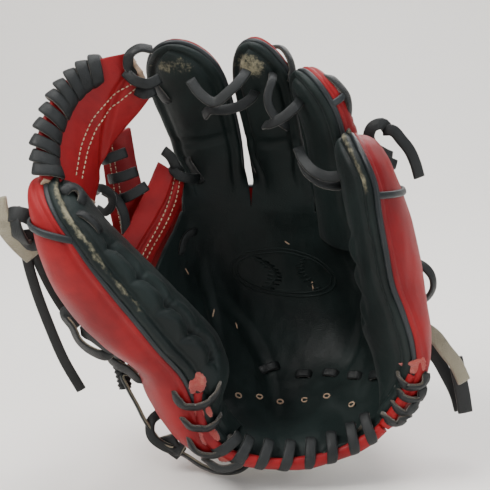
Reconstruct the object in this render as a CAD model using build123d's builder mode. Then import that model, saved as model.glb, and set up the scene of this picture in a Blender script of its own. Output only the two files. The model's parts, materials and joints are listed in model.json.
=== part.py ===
"""Fielder's baseball glove for the left hand, standing on its heel with the pocket facing -Y.

Frame: millimetres. +Z runs from the heel to the fingertips, +X from the thumb to the little
finger, -Y out of the pocket. The places below are measured from a point under the middle of the
heel edge, and each piece is moved as it is saved, so that the origin of the finished part is the
middle of the bottom of its bounding box. The pocket is a bowl. Each level of it is half a superellipse, and the leathers, pads and shells
around the hand are bands that stand a given clearance behind that bowl. Each finger stall is a
row of half-ellipses along a curved path: a front leather, a felt pad, a welt and a back leather.
"""

from build123d import *
from math import cos, radians, sin, sqrt
import os

os.makedirs("parts", exist_ok=True)

# Middle of the bottom of the glove's bounding box, which becomes the origin
base = (-3.9, 15.92, 12.4)

# Leathers, felts and laces
leather = 2.6
felt = 4.5
lining = 1.6
stiffener = 1.5
ply_gap = 0.6
lace_width = 6.0
lace_thick = 2.4
binding_size = 5.0

# Pocket bowl, one row for each level: height, thumb side x, little side x, rim y, deepest y
pocket_levels = [
    (26, 0, 62, -43, -26),
    (34, -13, 80, -44, 4),
    (48, -20, 93, -44, 33),
    (66, -25, 101, -46, 47),
    (92, -38, 103, -52, 55),
    (125, -56, 94, -56, 54),
    (156, -62, 84, -56, 47),
]
bowl_power = 2.3
tilt_share = 0.6

# Clearances behind the bowl: at the thumb side, behind the hand and at the little side
hand_shell = (30.0, 38.0, 13.0)
pad_clearance = leather + ply_gap
lining_clearance = pad_clearance + felt + ply_gap

# Heel edge, from below the thumb round to the little finger
heel_rim = [
    (-21, -48, 62), (-16, -48, 40), (-2, -46, 25), (20, -44, 20), (45, -42, 21),
    (69, -40, 28), (88, -40, 41), (101, -43, 59), (107, -49, 76),
]
thumb_rim_end = 0.2
little_rim_start = 0.8

# Stalls: the seam between front and back leathers holds the welt
seam_gap = 1.5
welt_thick = 1.2
welt_depth = 4.0
welt_proud = 1.2
tip_start = 0.72
cutter_reach = 1.0

# Wrist strap, back opening and crotch of the fingers
strap_heights = (44, 82)
back_heights = (120, 154)
fleece = 4.0

# Pierced holes in the heel leather
eyelet_radius = 1.5
eyelet_places = range(2, 78, 15)


def save(piece, name):
    """Put one finished piece in the part's frame, label it and write it to its own file."""
    placed = piece.moved(Location(base).inverse())
    placed.label = name
    export_step(placed, f"parts/{name}.step")


# ---------------------------------------------------------------- pocket bowl


def slope_at(row):
    """How fast the bowl deepens with height at one of its levels."""
    low = pocket_levels[max(row - 1, 0)]
    high = pocket_levels[min(row + 1, len(pocket_levels) - 1)]
    return (high[4] - low[4]) / (high[0] - low[0])


def level_at(height):
    """The bowl's sides, rim, depth and slope at a height."""
    row = 0
    while row < len(pocket_levels) - 2 and height > pocket_levels[row + 1][0]:
        row += 1
    low = (*pocket_levels[row], slope_at(row))
    high = (*pocket_levels[row + 1], slope_at(row + 1))
    share = (height - low[0]) / (high[0] - low[0])
    return [a + (b - a) * share for a, b in zip(low[1:], high[1:])]


def bowl_point(height, angle, clearance):
    """A point behind the bowl; the angle runs from -90 at the thumb to 90 at the little finger."""
    left, right, rim, deep, slope = level_at(height)
    side, back = sin(radians(angle)), cos(radians(angle))
    thumb_side, behind, little_side = clearance
    reach = (right - left) / 2 + (little_side if side > 0 else thumb_side)
    tilted = min(behind, lining_clearance) * (sqrt(1 + slope**2) - 1)
    depth = deep - rim + behind + tilted * tilt_share
    across = abs(side) ** (2 / bowl_power) * reach
    x = (left + right) / 2 + (across if side > 0 else -across)
    y = rim + back ** (2 / bowl_power) * depth
    return (x, y)


def band(heights, starts, ends, clearance, thickness):
    """A closed sheet around the bowl between two heights; its end angles run from low to high."""
    near = clearance if isinstance(clearance, tuple) else (clearance,) * 3
    far = [value + thickness for value in near]
    low, high = heights
    between = [level[0] for level in pocket_levels if low < level[0] < high]
    with BuildPart() as sheet:
        for height in (low, *between, high):
            share = (height - low) / (high - low)
            start = starts[0] + (starts[1] - starts[0]) * share
            end = ends[0] + (ends[1] - ends[0]) * share
            angles = [start + (end - start) * step / 8 for step in range(9)]
            with BuildSketch(Plane.XY.offset(height)):
                with BuildLine():
                    inside = Spline(*[bowl_point(height, angle, near) for angle in angles])
                    outside = Spline(*[bowl_point(height, angle, far) for angle in angles])
                    Line(inside @ 0, outside @ 0)
                    Line(inside @ 1, outside @ 1)
                make_face()
        loft(ruled=True)
    return sheet.part


# ---------------------------------------------------------------- finger stalls


class Stall:
    """A finger stall: a path through its middle, and its widths, crown and bulge along it."""

    def __init__(self, path, across_base, across_tip, half_width, crown, bulge):
        self.path = Edge.make_spline([Vector(*point) for point in path])
        self.across = (Vector(*across_base), Vector(*across_tip))
        self.half_width = half_width
        self.depths = {-1: crown, 1: bulge}

    def plane(self, along):
        across = self.across[0] * (1 - along) + self.across[1] * along
        return Plane(origin=self.path @ along, x_dir=across, z_dir=self.path % along)

    def radii(self, along, side, inset):
        """Half width and depth of one side; the tip closes as a quarter ellipse."""
        beyond = max(0.0, (along - tip_start) / (1.02 - tip_start))
        shape = sqrt(1 - beyond**2)
        wide = (self.half_width[0] * (1 - along) + self.half_width[1] * along) * shape
        base, tip = self.depths[side]
        deep = (base * (1 - along) + tip * along) * (0.35 + 0.65 * shape)
        return wide - inset, deep - inset

    def steps(self, inset):
        tip = 0.99 - inset / self.path.length
        return [tip * cut for cut in (0, 0.36, 0.72, 0.86, 0.95, 1)]

    def half(self, side, inset, reach=0.0):
        """Half the stall, front (side -1) or back (side 1), shrunk by inset all round.

        With a reach it is a cutter, which passes the seam and the open base by that much.
        """
        with BuildPart() as half:
            for along in self.steps(inset):
                wide, deep = self.radii(along, side, inset)
                plane = self.plane(along).offset(0 if along else -reach)
                with BuildSketch(plane):
                    with BuildLine():
                        seam = (0, (seam_gap - reach) * side)
                        arc = EllipticalCenterArc(seam, wide, deep + reach, 0, arc_size=180 * side)
                        Line(arc @ 0, arc @ 1)
                    make_face()
            loft()
        return half.part

    def shell(self, side, inset, thickness):
        """A thin leather over one side of the stall, open at its base."""
        with BuildPart() as shell:
            add(self.half(side, inset))
            add(self.half(side, inset + thickness, cutter_reach), mode=Mode.SUBTRACT)
        return shell.part

    def mid_plate(self, inset, thickness):
        """A flat plate in the seam between front and back, as wide as the stall."""
        with BuildPart() as plate:
            for along in self.steps(max(inset, 0)):
                wide, deep = self.radii(along, 1, inset)
                with BuildSketch(self.plane(along)):
                    Rectangle(2 * wide, thickness)
            loft()
        return plate.part

    def welt(self):
        """The piping between front and back: a thin plate with its middle cut out."""
        with BuildPart() as welt:
            add(self.mid_plate(-welt_proud, welt_thick))
            add(self.mid_plate(welt_depth - welt_proud, 2 * welt_thick), mode=Mode.SUBTRACT)
        return welt.part

    def arch(self, along, inset, thickness, length):
        """A strip over the back of the stall at one place along it."""
        with BuildPart() as arch:
            with BuildSketch(self.plane(along)):
                with BuildLine():
                    wide, deep = self.radii(along, 1, inset)
                    foot = (0, 2 * seam_gap)
                    outside = EllipticalCenterArc(foot, wide, deep, 0, arc_size=180)
                    wide, deep = wide - thickness, deep - thickness
                    inside = EllipticalCenterArc(foot, wide, deep, 0, arc_size=180)
                    Line(outside @ 0, inside @ 0)
                    Line(outside @ 1, inside @ 1)
                make_face()
            extrude(amount=length / 2, both=True)
        return arch.part


stalls = {
    "thumb": Stall(
        [(-20, -27, 77), (-50, -36, 112), (-76, -38, 146), (-101, -30, 180)],
        (0.15, 0.98, 0.1), (0.2, 0.97, 0.1), (27, 25), (10, 9), (28, 14),
    ),
    "index": Stall(
        [(-12, 57, 162), (-17, 46, 202), (-27, 28, 238), (-37, 12, 263)],
        (1, 0, 0), (0.97, -0.2, 0), (19.5, 25), (10, 11), (26, 12),
    ),
    "middle": Stall(
        [(35, 57, 162), (28, 44, 204), (20, 26, 242), (13, 14, 264)],
        (0.98, -0.2, 0), (0.88, -0.45, 0), (18, 19), (10, 11), (25, 12),
    ),
    "ring": Stall(
        [(72, 17, 160), (64, 11, 188), (54, 5, 222), (43, 1, 247)],
        (0.5, -0.87, 0), (0.4, -0.9, 0), (21, 21), (8, 9), (22, 14),
    ),
    "little": Stall(
        [(100, -32, 84), (93, -36, 122), (84, -36, 160), (71, -29, 206)],
        (0.2, -0.98, 0), (0.25, -0.97, 0), (25, 21), (9, 9), (23, 12),
    ),
}


def make_stalls():
    for name, stall in stalls.items():
        save(stall.shell(-1, 0, leather), f"{name}_front")
        save(stall.half(-1, leather + 2 * ply_gap), f"{name}_pad")
        save(stall.shell(1, 0, leather), f"{name}_back")
        save(stall.welt(), f"{name}_welt")
    for name in ("thumb", "middle", "ring", "little"):
        save(stalls[name].arch(0.8, -2.9, 1.9, 4), f"{name}_cross_welt")
    for name in ("thumb", "little"):
        inside = leather + ply_gap
        save(stalls[name].shell(1, inside, stiffener), f"{name}_stiffener")
        save(stalls[name].arch(0.12, inside + stiffener + 1.5, lining, 14), f"{name}_loop")


# ---------------------------------------------------------------- palm and hand shell


def make_palm():
    with BuildPart() as palm_leather:
        add(band((26, 156), (-76, -30), (76, 38), 0, leather))
        with Locations(*[Plane((x, 0, 34), z_dir=(0, -1, 0.4)) for x in eyelet_places]):
            Hole(eyelet_radius, depth=30)
    save(palm_leather.part, "palm_leather")
    save(band((60, 154), (-42, -28), (38, 32), pad_clearance, felt), "palm_felt")
    heel = (36, 56)
    save(band(heel, (-58, -50), (-4, -4), pad_clearance, felt), "heel_pad_thumb")
    save(band(heel, (4, 4), (58, 50), pad_clearance, felt), "heel_pad_little")
    save(band((38, 154), (-52, -28), (50, 32), lining_clearance, lining), "palm_lining")


def behind_shell(step):
    """The hand shell's clearances, moved away from the hand by a step."""
    return tuple(value + step for value in hand_shell)


def make_shell():
    low, high = strap_heights
    around = ((-44, -44), (50, 50))
    save(band((low, high), *around, hand_shell, leather), "wrist_strap")
    save(band((low + 3, high - 3), *around, behind_shell(-ply_gap - fleece), fleece),
         "wrist_strap_fleece")
    low, high = back_heights
    save(band((low, high), (-34, -28), (34, 28), hand_shell, leather), "hand_back")
    save(band((low - 5, low - 1), (-34, -34), (34, 34), behind_shell(-1), binding_size),
         "back_opening_binding")
    save(band((18, 68), (-86, -80), (-53, -53), hand_shell, leather), "thumb_side_shell")
    save(band((28, 70), (59, 59), (86, 78), hand_shell, leather), "little_side_shell")


# ---------------------------------------------------------------- edges and laces


def rim_plane(along):
    path = Edge.make_spline([Vector(*point) for point in heel_rim])
    return Plane(origin=path @ along, x_dir=(0, 1, 0), z_dir=path % along)


def rim_binding(start, end):
    """The rolled edge of the heel over one stretch of the rim."""
    steps = [start + (end - start) * step / 5 for step in range(6)]
    with BuildPart() as binding:
        for along in steps:
            with BuildSketch(rim_plane(along)):
                RectangleRounded(binding_size, binding_size, 1.5)
        loft()
    return binding.part


def turn(plane, inner):
    """One turn of lace round an edge: a C that is open towards the plane's x direction."""
    with BuildPart() as turn:
        with BuildSketch(plane):
            Circle(inner + lace_thick)
            Circle(inner, mode=Mode.SUBTRACT)
            with Locations((inner, 0)):
                Rectangle(2 * inner, 4 * inner, mode=Mode.SUBTRACT)
        extrude(amount=lace_width / 2, both=True)
    return turn.part


def rim_turns(places):
    """Whip lacing round the rolled edge of the heel."""
    return group([turn(rim_plane(along), binding_size * 0.75) for along in places])


def strip(points, facing, width=lace_width, thickness=lace_thick):
    """A flat thong along a curve, with its flat side turned towards facing at the start."""
    path = Edge.make_spline([Vector(*point) for point in points])
    start = Plane(origin=path @ 0, x_dir=Vector(*facing).cross(path % 0), z_dir=path % 0)
    with BuildPart() as thong:
        with BuildSketch(start):
            Rectangle(width, thickness)
        sweep(path=path)
    return thong.part


def sheet(rows, thickness):
    """A leather tab between two edges, given as rows of (one edge, other edge)."""
    middles = [(Vector(*one) + Vector(*other)) / 2 for one, other in rows]
    path = Edge.make_spline(middles)
    with BuildPart() as tab:
        for (one, other), middle in zip(rows, middles):
            across = Vector(*other) - Vector(*one)
            along = path % path.param_at_point(middle)
            with BuildSketch(Plane(origin=middle, x_dir=across, z_dir=along)):
                Rectangle(across.length, thickness)
        loft()
    return tab.part


def group(pieces):
    """Separate solids that share one node, such as the turns of one lace."""
    return Part() + [solid for piece in pieces for solid in piece.solids()]


def make_edges():
    save(rim_binding(thumb_rim_end + 0.02, little_rim_start - 0.02), "heel_binding")
    save(rim_binding(0, thumb_rim_end - 0.02), "thumb_edge_binding")
    save(rim_binding(little_rim_start + 0.02, 1), "little_edge_binding")
    save(rim_turns([0.27, 0.355, 0.44, 0.525, 0.61, 0.695, 0.765]), "heel_lace")
    save(rim_turns([0.02, 0.085, 0.15]), "thumb_edge_lace")
    save(rim_turns([0.85, 0.9, 0.95]), "little_edge_lace")


def make_web():
    top_bar = [
        ((-107, -41, 198), (-82, -11, 184)), ((-110, -32, 216), (-79, -2, 194)),
        ((-100, -20, 238), (-72, 4, 210)), ((-82, -9, 253), (-62, 8, 219)),
        ((-64, -2, 259), (-55, 8, 232)),
    ]
    save(sheet(top_bar, 4.0), "web_top_bar")
    post = [
        ((-83, 10, 206), (-68, 14, 208)), ((-84, 14, 184), (-61, 20, 185)),
        ((-84, 16, 160), (-56, 24, 160)), ((-80, 16, 141), (-56, 24, 140)),
    ]
    save(sheet(post, 3.0), "web_post")
    bottom_bar = [
        ((-46, 24, 192), (-33, 31, 167)), ((-58, 17, 173), (-43, 26, 148)),
        ((-69, 4, 149), (-52, 14, 125)),
    ]
    save(sheet(bottom_bar, 5.0), "web_bottom_bar")
    edge = Edge.make_spline([Vector(*outer) for outer, inner in top_bar])
    inward = [Vector(*inner) - Vector(*outer) for outer, inner in top_bar]
    turns = []
    for number in range(10):
        along = 0.1 + 0.075 * number
        row = along * (len(inward) - 1)
        low = int(row)
        x_dir = inward[low] * (1 - row + low) + inward[low + 1] * (row - low)
        plane = Plane(origin=edge @ along, x_dir=x_dir, z_dir=edge % along)
        turns.append(turn(plane, 3.4))
    save(group(turns), "web_wrap_lace")
    bars = [(-73, 9, 197), (-67, 12, 185), (-66, 15, 175)]
    crossings = [strip([(x - 6, y, z - 1), (x, y - 0.5, z), (x + 6, y, z + 1)], (0, -1, 0))
                 for x, y, z in bars]
    loop = strip([(-82, 2, 168), (-75, 4, 178), (-69, 5, 170), (-72, 4, 158)], (0, -1, 0))
    save(group([*crossings, loop]), "web_post_lace")
    save(group([
        strip([(-66, -9, 249), (-57, -8, 247), (-47, -1, 243)], (0, -1, 0)),
        strip([(-61, -4, 256), (-56, -7, 263), (-48, -5, 262)], (0, -1, 0)),
        strip([(-44, 17, 184), (-40, 24, 200), (-36, 32, 196)], (0, -1, 0)),
    ]), "web_index_lace")


def make_laces():
    save(group([
        strip([(-19, 8, 226), (-8, 4, 234), (5, 3, 246)], (0, -1, 0)),
        strip([(-8, 12, 218), (2, 8, 216), (12, 8, 224)], (0, -1, 0)),
    ]), "index_middle_lace")
    save(strip([(19, 2, 240), (24, -4, 224), (33, -8, 228)], (0, -1, 0)), "middle_ring_lace")
    save(strip([(43, 0, 198), (46, -10, 190), (58, -28, 190)], (0, -1, 0)), "ring_little_lace")
    segments = []
    for start, end in ((-10, 4), (12, 24), (28, 40), (45, 56)):
        angles = (start, (start + end) / 2, end)
        points = [(*bowl_point(52, angle, (-3.8, -3.8, -3.8)), 52) for angle in angles]
        segments.append(strip(points, (0, -1, 0)))
    save(group(segments), "pocket_lace")


def knot(centre, normal, radius):
    """A tight turn of lace, as a flat ring."""
    with BuildPart() as ring:
        with BuildSketch(Plane(origin=centre, z_dir=normal)):
            Circle(radius)
            Circle(radius - lace_thick, mode=Mode.SUBTRACT)
        extrude(amount=lace_width / 2, both=True)
    return ring.part


def make_tails():
    under = strip([(-62, -4, 70), (-60, -6, 50), (-50, -8, 34), (-38, -10, 22), (-24, -12, 14)],
                  (-1, 0, 0))
    save(group([knot((-128, 8, 160), (0.3, 0, 1), 7.5), under]), "thumb_side_lace")
    save(group([
        strip([(-131, 8, 150), (-125, 8, 114), (-115, 8, 84), (-101, 8, 52)], (0, -1, 0)),
        strip([(-138, 8, 163), (-146, 8, 170), (-152, 8, 182)], (0, -1, 0)),
    ]), "thumb_tail")
    save(group([knot((93, 16, 212), (0, 1, 0), 7.5), knot((123, 4, 115), (0.2, 0, 1), 5.5)]),
         "little_side_knots")
    save(strip([(100, 8, 219), (109, 6, 211), (116, 4, 199), (119, 4, 188)], (0, -1, 0)), "tip_tail")
    save(group([
        strip([(119, -8, 92), (127, -8, 86), (136, -8, 74), (143, -8, 60)], (0, -1, 0), 9),
        strip([(119, -2, 86), (128, -2, 79), (137, -2, 62), (142, -2, 38)], (0, -1, 0), 8),
    ]), "heel_tail")


make_stalls()
make_palm()
make_shell()
make_edges()
make_web()
make_laces()
make_tails()
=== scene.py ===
"""Looks of a fielder's baseball glove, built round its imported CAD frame.

Shapes are written in millimetres, in the frame's axes (+X thumb to little finger, -Y out of the
pocket, +Z heel to fingertips), and turned into metres when a mesh is made.
"""

import json
import math

import bmesh
import bpy
import numpy as np
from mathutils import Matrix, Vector
from mathutils.bvhtree import BVHTree
from mathutils.noise import noise as perlin


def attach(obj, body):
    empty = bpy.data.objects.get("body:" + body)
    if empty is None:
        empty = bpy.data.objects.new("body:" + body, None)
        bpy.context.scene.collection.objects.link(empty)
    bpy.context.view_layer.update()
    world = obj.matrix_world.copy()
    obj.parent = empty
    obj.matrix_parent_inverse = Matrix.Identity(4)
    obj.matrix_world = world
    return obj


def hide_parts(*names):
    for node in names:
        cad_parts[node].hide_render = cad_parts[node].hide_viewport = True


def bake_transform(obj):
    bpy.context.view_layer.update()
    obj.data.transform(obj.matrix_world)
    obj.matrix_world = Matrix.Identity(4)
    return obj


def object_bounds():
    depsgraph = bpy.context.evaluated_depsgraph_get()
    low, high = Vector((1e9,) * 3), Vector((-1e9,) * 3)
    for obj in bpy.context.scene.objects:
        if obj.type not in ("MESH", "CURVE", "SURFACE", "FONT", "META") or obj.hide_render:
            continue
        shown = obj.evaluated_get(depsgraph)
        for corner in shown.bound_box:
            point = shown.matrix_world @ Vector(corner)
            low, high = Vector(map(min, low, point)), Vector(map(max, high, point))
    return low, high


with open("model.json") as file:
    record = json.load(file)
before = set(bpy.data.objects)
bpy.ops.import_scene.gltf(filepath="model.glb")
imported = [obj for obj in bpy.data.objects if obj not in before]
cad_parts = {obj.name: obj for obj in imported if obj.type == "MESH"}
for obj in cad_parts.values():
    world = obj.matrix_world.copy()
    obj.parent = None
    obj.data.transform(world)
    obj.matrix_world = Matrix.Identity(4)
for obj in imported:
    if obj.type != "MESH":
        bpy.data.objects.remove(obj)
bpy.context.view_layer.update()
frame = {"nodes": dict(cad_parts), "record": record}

MM = 0.001
BASE = np.array([-3.9, 15.92, 12.4])     # the frame's origin, in the places written below
EYE = (8, -606.5, 271.9)                 # where the glove is looked at from
INSIDE = np.array([28.0, -70.0, 105.0])  # a place in front of the pocket, to tell its two sides apart
LACE = (6.4, 2.4)                        # width and thickness of the flat laces
GRAIN, SUEDE, GRAIN_SIDES = 0, 1, 8      # material numbers of a lace, and its sides that show grain
LEATHER, PALM_LEATHER, WEB_LEATHER = 2.4, 2.6, 3.4
PAD, FINGER_PAD, STIFFENER = 3.6, 4.2, 1.5


# ------------------------------------------------------------------ curves and frames


def unit(v):
    v = np.asarray(v, float)
    return v / np.maximum(np.linalg.norm(v, axis=-1, keepdims=True), 1e-9)


def hermite(p, slope, k, f, step=1.0):
    """The cubic between points k and k + 1 of a row of points, at share f of the way."""
    rise = 3 * f**2 - 2 * f**3
    leave, arrive = f**3 - 2 * f**2 + f, f**3 - f**2
    return (1 - rise) * p[k] + rise * p[k + 1] + step * (leave * slope[k] + arrive * slope[k + 1])


def distance_along(path):
    """Distance of each point of a path from its first point."""
    return np.concatenate([[0], np.cumsum(np.linalg.norm(np.diff(path, axis=0), axis=1))])


def read_at(spots, run, rows):
    """Rows of values, known at the places run, read at other places."""
    return np.stack([np.interp(spots, run, column) for column in np.asarray(rows).T], axis=1)


def curve(points, count):
    """Evenly spaced points on a smooth curve through the given points."""
    p = np.asarray(points, float)
    if len(p) == 2:
        share = np.linspace(0, 1, count)[:, None]
        return p[0] * (1 - share) + p[1] * share
    t = distance_along(p)
    t = np.concatenate([[0], np.cumsum(np.maximum(np.diff(t), 1e-6))])
    fine = np.linspace(0, t[-1], count * 8)
    k = np.clip(np.searchsorted(t, fine, side="right") - 1, 0, len(p) - 2)
    step = (t[k + 1] - t[k])[:, None]
    q = hermite(p, np.gradient(p, t, axis=0), k, (fine - t[k])[:, None] / step, step)
    run = distance_along(q)
    return read_at(np.linspace(0, run[-1], count), run, q)


def tangents(p):
    """Unit directions along a path."""
    return unit(np.gradient(p, axis=0))


def smoothstep(low, high, x):
    t = np.clip((np.asarray(x, float) - low) / (high - low), 0, 1)
    return t * t * (3 - 2 * t)


def hump(centre, width, x):
    """A smooth bump of height 1 at centre that fades to 0 at width."""
    t = np.clip(np.abs(np.asarray(x, float) - centre) / width, 0, 1)
    return (1 - t * t) ** 2


# ------------------------------------------------------------------ meshes


def make_piece(name, vertices, faces, materials, index=None, wear=None):
    """A smooth-shaded mesh object from millimetre vertices."""
    mesh = bpy.data.meshes.new(name)
    mesh.from_pydata(((np.asarray(vertices) - BASE) * MM).tolist(), [], faces)
    for material in materials if isinstance(materials, (list, tuple)) else [materials]:
        mesh.materials.append(material)
    mesh.polygons.foreach_set("use_smooth", [True] * len(mesh.polygons))
    if index is not None:
        mesh.polygons.foreach_set("material_index", np.asarray(index, np.int32))
    worn = mesh.attributes.new("wear", "FLOAT", "POINT")
    if wear is not None:
        worn.data.foreach_set("value", np.asarray(wear, np.float32).ravel())
    mesh.update()
    piece = bpy.data.objects.new(name, mesh)
    bpy.context.scene.collection.objects.link(piece)
    return piece


def grid_faces(rows, columns, around=False):
    """Quads of a grid of vertices; a grid that goes around joins its last column to its first."""
    faces = []
    for i in range(rows - 1):
        a, b = i * columns, (i + 1) * columns
        for j in range(columns if around else columns - 1):
            k = (j + 1) % columns
            faces.append((a + j, a + k, b + k, b + j))
    return faces


def capped_faces(rows, sides):
    """Quads round a tube of vertices and a face over each of its ends."""
    last = (rows - 1) * sides
    return grid_faces(rows, sides, around=True) + [tuple(range(sides))[::-1],
                                                   tuple(last + k for k in range(sides))]


def grid_part(grid, wear):
    """A grid of points as a part for join_meshes()."""
    faces = grid_faces(*grid.shape[:2])
    return grid.reshape(-1, 3), faces, [0] * len(faces), wear.ravel()


def thicken(piece, thickness):
    """Gives a sheet its thickness, behind its shown side."""
    solid = piece.modifiers.new("thickness", "SOLIDIFY")
    solid.thickness = thickness * MM
    solid.offset = -1
    graph = bpy.context.evaluated_depsgraph_get()
    mesh = bpy.data.meshes.new_from_object(piece.evaluated_get(graph))
    piece.modifiers.clear()
    piece.data = mesh
    return piece


def join_meshes(name, parts, materials):
    """One piece from several (vertices, faces, material index, wear) parts."""
    vertices, part_faces, part_index, wear = zip(*parts)
    faces, index, first = [], [], 0
    for points, more_faces, more_index in zip(vertices, part_faces, part_index):
        faces += [tuple(v + first for v in face) for face in more_faces]
        index += list(more_index)
        first += len(points)
    return make_piece(name, np.concatenate(vertices), faces, materials, index, np.concatenate(wear))


def section_frames(path, facing):
    """Side and facing directions along a path; facing is one vector or several spread along it."""
    t = tangents(path)
    facing = np.atleast_2d(np.asarray(facing, float))
    if len(facing) != len(path):
        facing = read_at(np.linspace(0, 1, len(path)), np.linspace(0, 1, len(facing)), facing)
    side = unit(np.cross(facing, t))
    return side, unit(np.cross(t, side))


def ribbon_part(path, facing, width, thick, wear=0.0):
    """A lace or strap with rounded edges: grain on its facing side, suede on the rest."""
    path = np.asarray(path, float)
    side, up = section_frames(path, facing)
    r = thick * 0.42
    corner = [(width / 2 - r + r * math.cos(a), thick / 2 - r + r * math.sin(a))
              for a in np.radians([0, 30, 60, 90])]
    outline = corner + [(0.0, thick / 2 + 0.18)] + [(-x, y) for x, y in corner[::-1]]
    outline += [(-x, -y) for x, y in corner] + [(0.0, -thick / 2)] + [(x, -y) for x, y in corner[::-1]]
    n = len(outline)
    points = np.stack([path + side * x + up * y for x, y in outline], axis=1)
    index = [GRAIN if k < GRAIN_SIDES else SUEDE for k in range(n)] * (len(path) - 1) + [SUEDE, SUEDE]
    return points.reshape(-1, 3), capped_faces(len(path), n), index, np.full(len(path) * n, wear)


def tube_part(path, radius, sides=10, closed=False, wear=0.0, squash=1.0, facing=(0, 0, 1)):
    """A round or flattened cord along a path."""
    path = np.asarray(path, float)
    side, up = section_frames(path, facing)
    radius = np.broadcast_to(np.asarray(radius, float), (len(path),))[:, None]
    angles = np.linspace(0, 2 * math.pi, sides, endpoint=False)
    points = np.stack([path + radius * (side * math.cos(a) + up * squash * math.sin(a)) for a in angles],
                      axis=1)
    faces = capped_faces(len(path), sides)
    if closed:
        last = (len(path) - 1) * sides
        faces[-2:] = [(last + j, last + (j + 1) % sides, (j + 1) % sides, j) for j in range(sides)]
    return points.reshape(-1, 3), faces, [0] * len(faces), np.full(len(path) * sides, wear)


def settle(piece, slot, body, *nodes):
    """Gives a piece its body and hides the CAD nodes it stands for; slot is not used."""
    if nodes:
        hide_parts(*nodes)
    if body:
        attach(piece, body)
    return piece


# ------------------------------------------------------------------ materials


def add_node(tree, kind, inputs, **settings):
    """A shader node with its settings and its inputs, each one a value or another node's output."""
    node = tree.nodes.new(f"ShaderNode{kind}")
    for setting, value in settings.items():
        setattr(node, setting, value)
    fill_inputs(tree, node, inputs)
    return node.outputs


def fill_inputs(tree, node, inputs):
    for socket, value in inputs.items():
        if isinstance(value, bpy.types.NodeSocket):
            tree.links.new(value, node.inputs[socket])
        else:
            node.inputs[socket].default_value = value


def mix_color(tree, factor, a, b):
    a, b = (color if isinstance(color, bpy.types.NodeSocket) else (*color, 1.0) for color in (a, b))
    return add_node(tree, "Mix", {0: factor, 6: a, 7: b}, data_type="RGBA")[2]


def noise(tree, scale, detail=4.0, roughness=0.55, distortion=0.0):
    place = add_node(tree, "TexCoord", {})["Object"]
    return add_node(tree, "TexNoise", {"Scale": scale, "Detail": detail, "Roughness": roughness,
                                       "Distortion": distortion, "Vector": place})["Fac"]


def ramp(tree, value, low, high):
    """A smooth step of a value from 0 at low to 1 at high."""
    return add_node(tree, "MapRange", {"From Min": low, "From Max": high, "Value": value},
                    clamp=True, interpolation_type="SMOOTHSTEP")["Result"]


def plus(tree, a, b):
    return add_node(tree, "Math", {0: a, 1: b}, operation="ADD")[0]


def times(tree, a, b):
    return add_node(tree, "Math", {0: a, 1: b}, operation="MULTIPLY")[0]


def new_material(name):
    material = bpy.data.materials.new(name)
    material.use_nodes = True
    return material, material.node_tree, material.node_tree.nodes["Principled BSDF"]


def leather(name, dark, light, worn, roughness=0.45, relief=0.25, sheen=0.0, scuff=0.62, shine=0.42):
    """Grained leather: broad colour variation, pores and creases, and wear from the mesh, which on the thumb
    front also holds painted highlights and painted light.
    """
    material, tree, shader = new_material(name)
    broad = ramp(tree, noise(tree, 15.0, 6.0, 0.62, 0.4), 0.33, 0.68)
    color = mix_color(tree, broad, dark, light)
    wear = add_node(tree, "Attribute", {}, attribute_name="wear")["Fac"]
    speckle = noise(tree, 420.0, 6.0, 0.75)
    patchy = noise(tree, 70.0, 5.0, 0.65)
    reach = plus(tree, times(tree, speckle, 0.6), times(tree, patchy, 0.75))
    centred = add_node(tree, "Math", {0: reach, 1: 0.675}, operation="SUBTRACT")[0]
    # Worn colour where the wear attribute is high; on the thumb front this also paints highlights and a
    # lighter wash.
    rubbed = ramp(tree, plus(tree, wear, centred), 0.5, 0.78)
    scuffs = ramp(tree, noise(tree, 95.0, 8.0, 0.72, 0.6), scuff, scuff + 0.14)
    color = mix_color(tree, times(tree, scuffs, 0.35), color, worn)
    color = mix_color(tree, rubbed, color, worn)
    rough = plus(tree, roughness - 0.06, times(tree, broad, 0.12))
    rough = plus(tree, rough, times(tree, rubbed, 0.25))
    place = add_node(tree, "TexCoord", {})["Object"]
    cells = add_node(tree, "TexVoronoi", {"Scale": 900.0, "Vector": place}, feature="DISTANCE_TO_EDGE")
    pores = ramp(tree, cells["Distance"], 0.0, 0.12)
    creases = noise(tree, 130.0, 6.0, 0.7, 0.5)
    height = plus(tree, times(tree, pores, 0.35), creases)
    bump = add_node(tree, "Bump", {"Strength": relief, "Distance": 0.9 * MM, "Height": height})
    fill_inputs(tree, shader, {
        "Base Color": color, "Roughness": rough, "Normal": bump["Normal"], "Specular IOR Level": shine,
        "Sheen Weight": sheen, "Sheen Roughness": 0.45})
    return material


black_leather = leather("black_leather", (0.0022, 0.0050, 0.0048), (0.0075, 0.0145, 0.0135),
                        (0.26, 0.235, 0.155), roughness=0.47, relief=0.34, sheen=0.04, scuff=0.72,
                        shine=0.20)
red_leather = leather("red_leather", (0.135, 0.0015, 0.004), (0.27, 0.0085, 0.011), (0.34, 0.12, 0.08),
                      roughness=0.46, relief=0.26, sheen=0.0, scuff=0.68, shine=0.22)
welt_leather = leather("welt_leather", (0.006, 0.0085, 0.010), (0.017, 0.021, 0.024), (0.16, 0.14, 0.09),
                       roughness=0.42, relief=0.2, shine=0.34)
raw_red = leather("raw_red_edge", (0.25, 0.020, 0.018), (0.38, 0.080, 0.060), (0.50, 0.28, 0.20),
                  roughness=0.85, relief=0.8, sheen=0.3, scuff=0.55)
raw_tan = leather("raw_tan_edge", (0.26, 0.16, 0.10), (0.42, 0.29, 0.19), (0.60, 0.48, 0.34),
                  roughness=0.9, relief=0.7, sheen=0.3, scuff=0.5)
lace_grain = leather("lace_grain", (0.0055, 0.0068, 0.0072), (0.017, 0.019, 0.0195), (0.15, 0.13, 0.09),
                     roughness=0.42, relief=0.4, scuff=0.70, shine=0.26)
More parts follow.
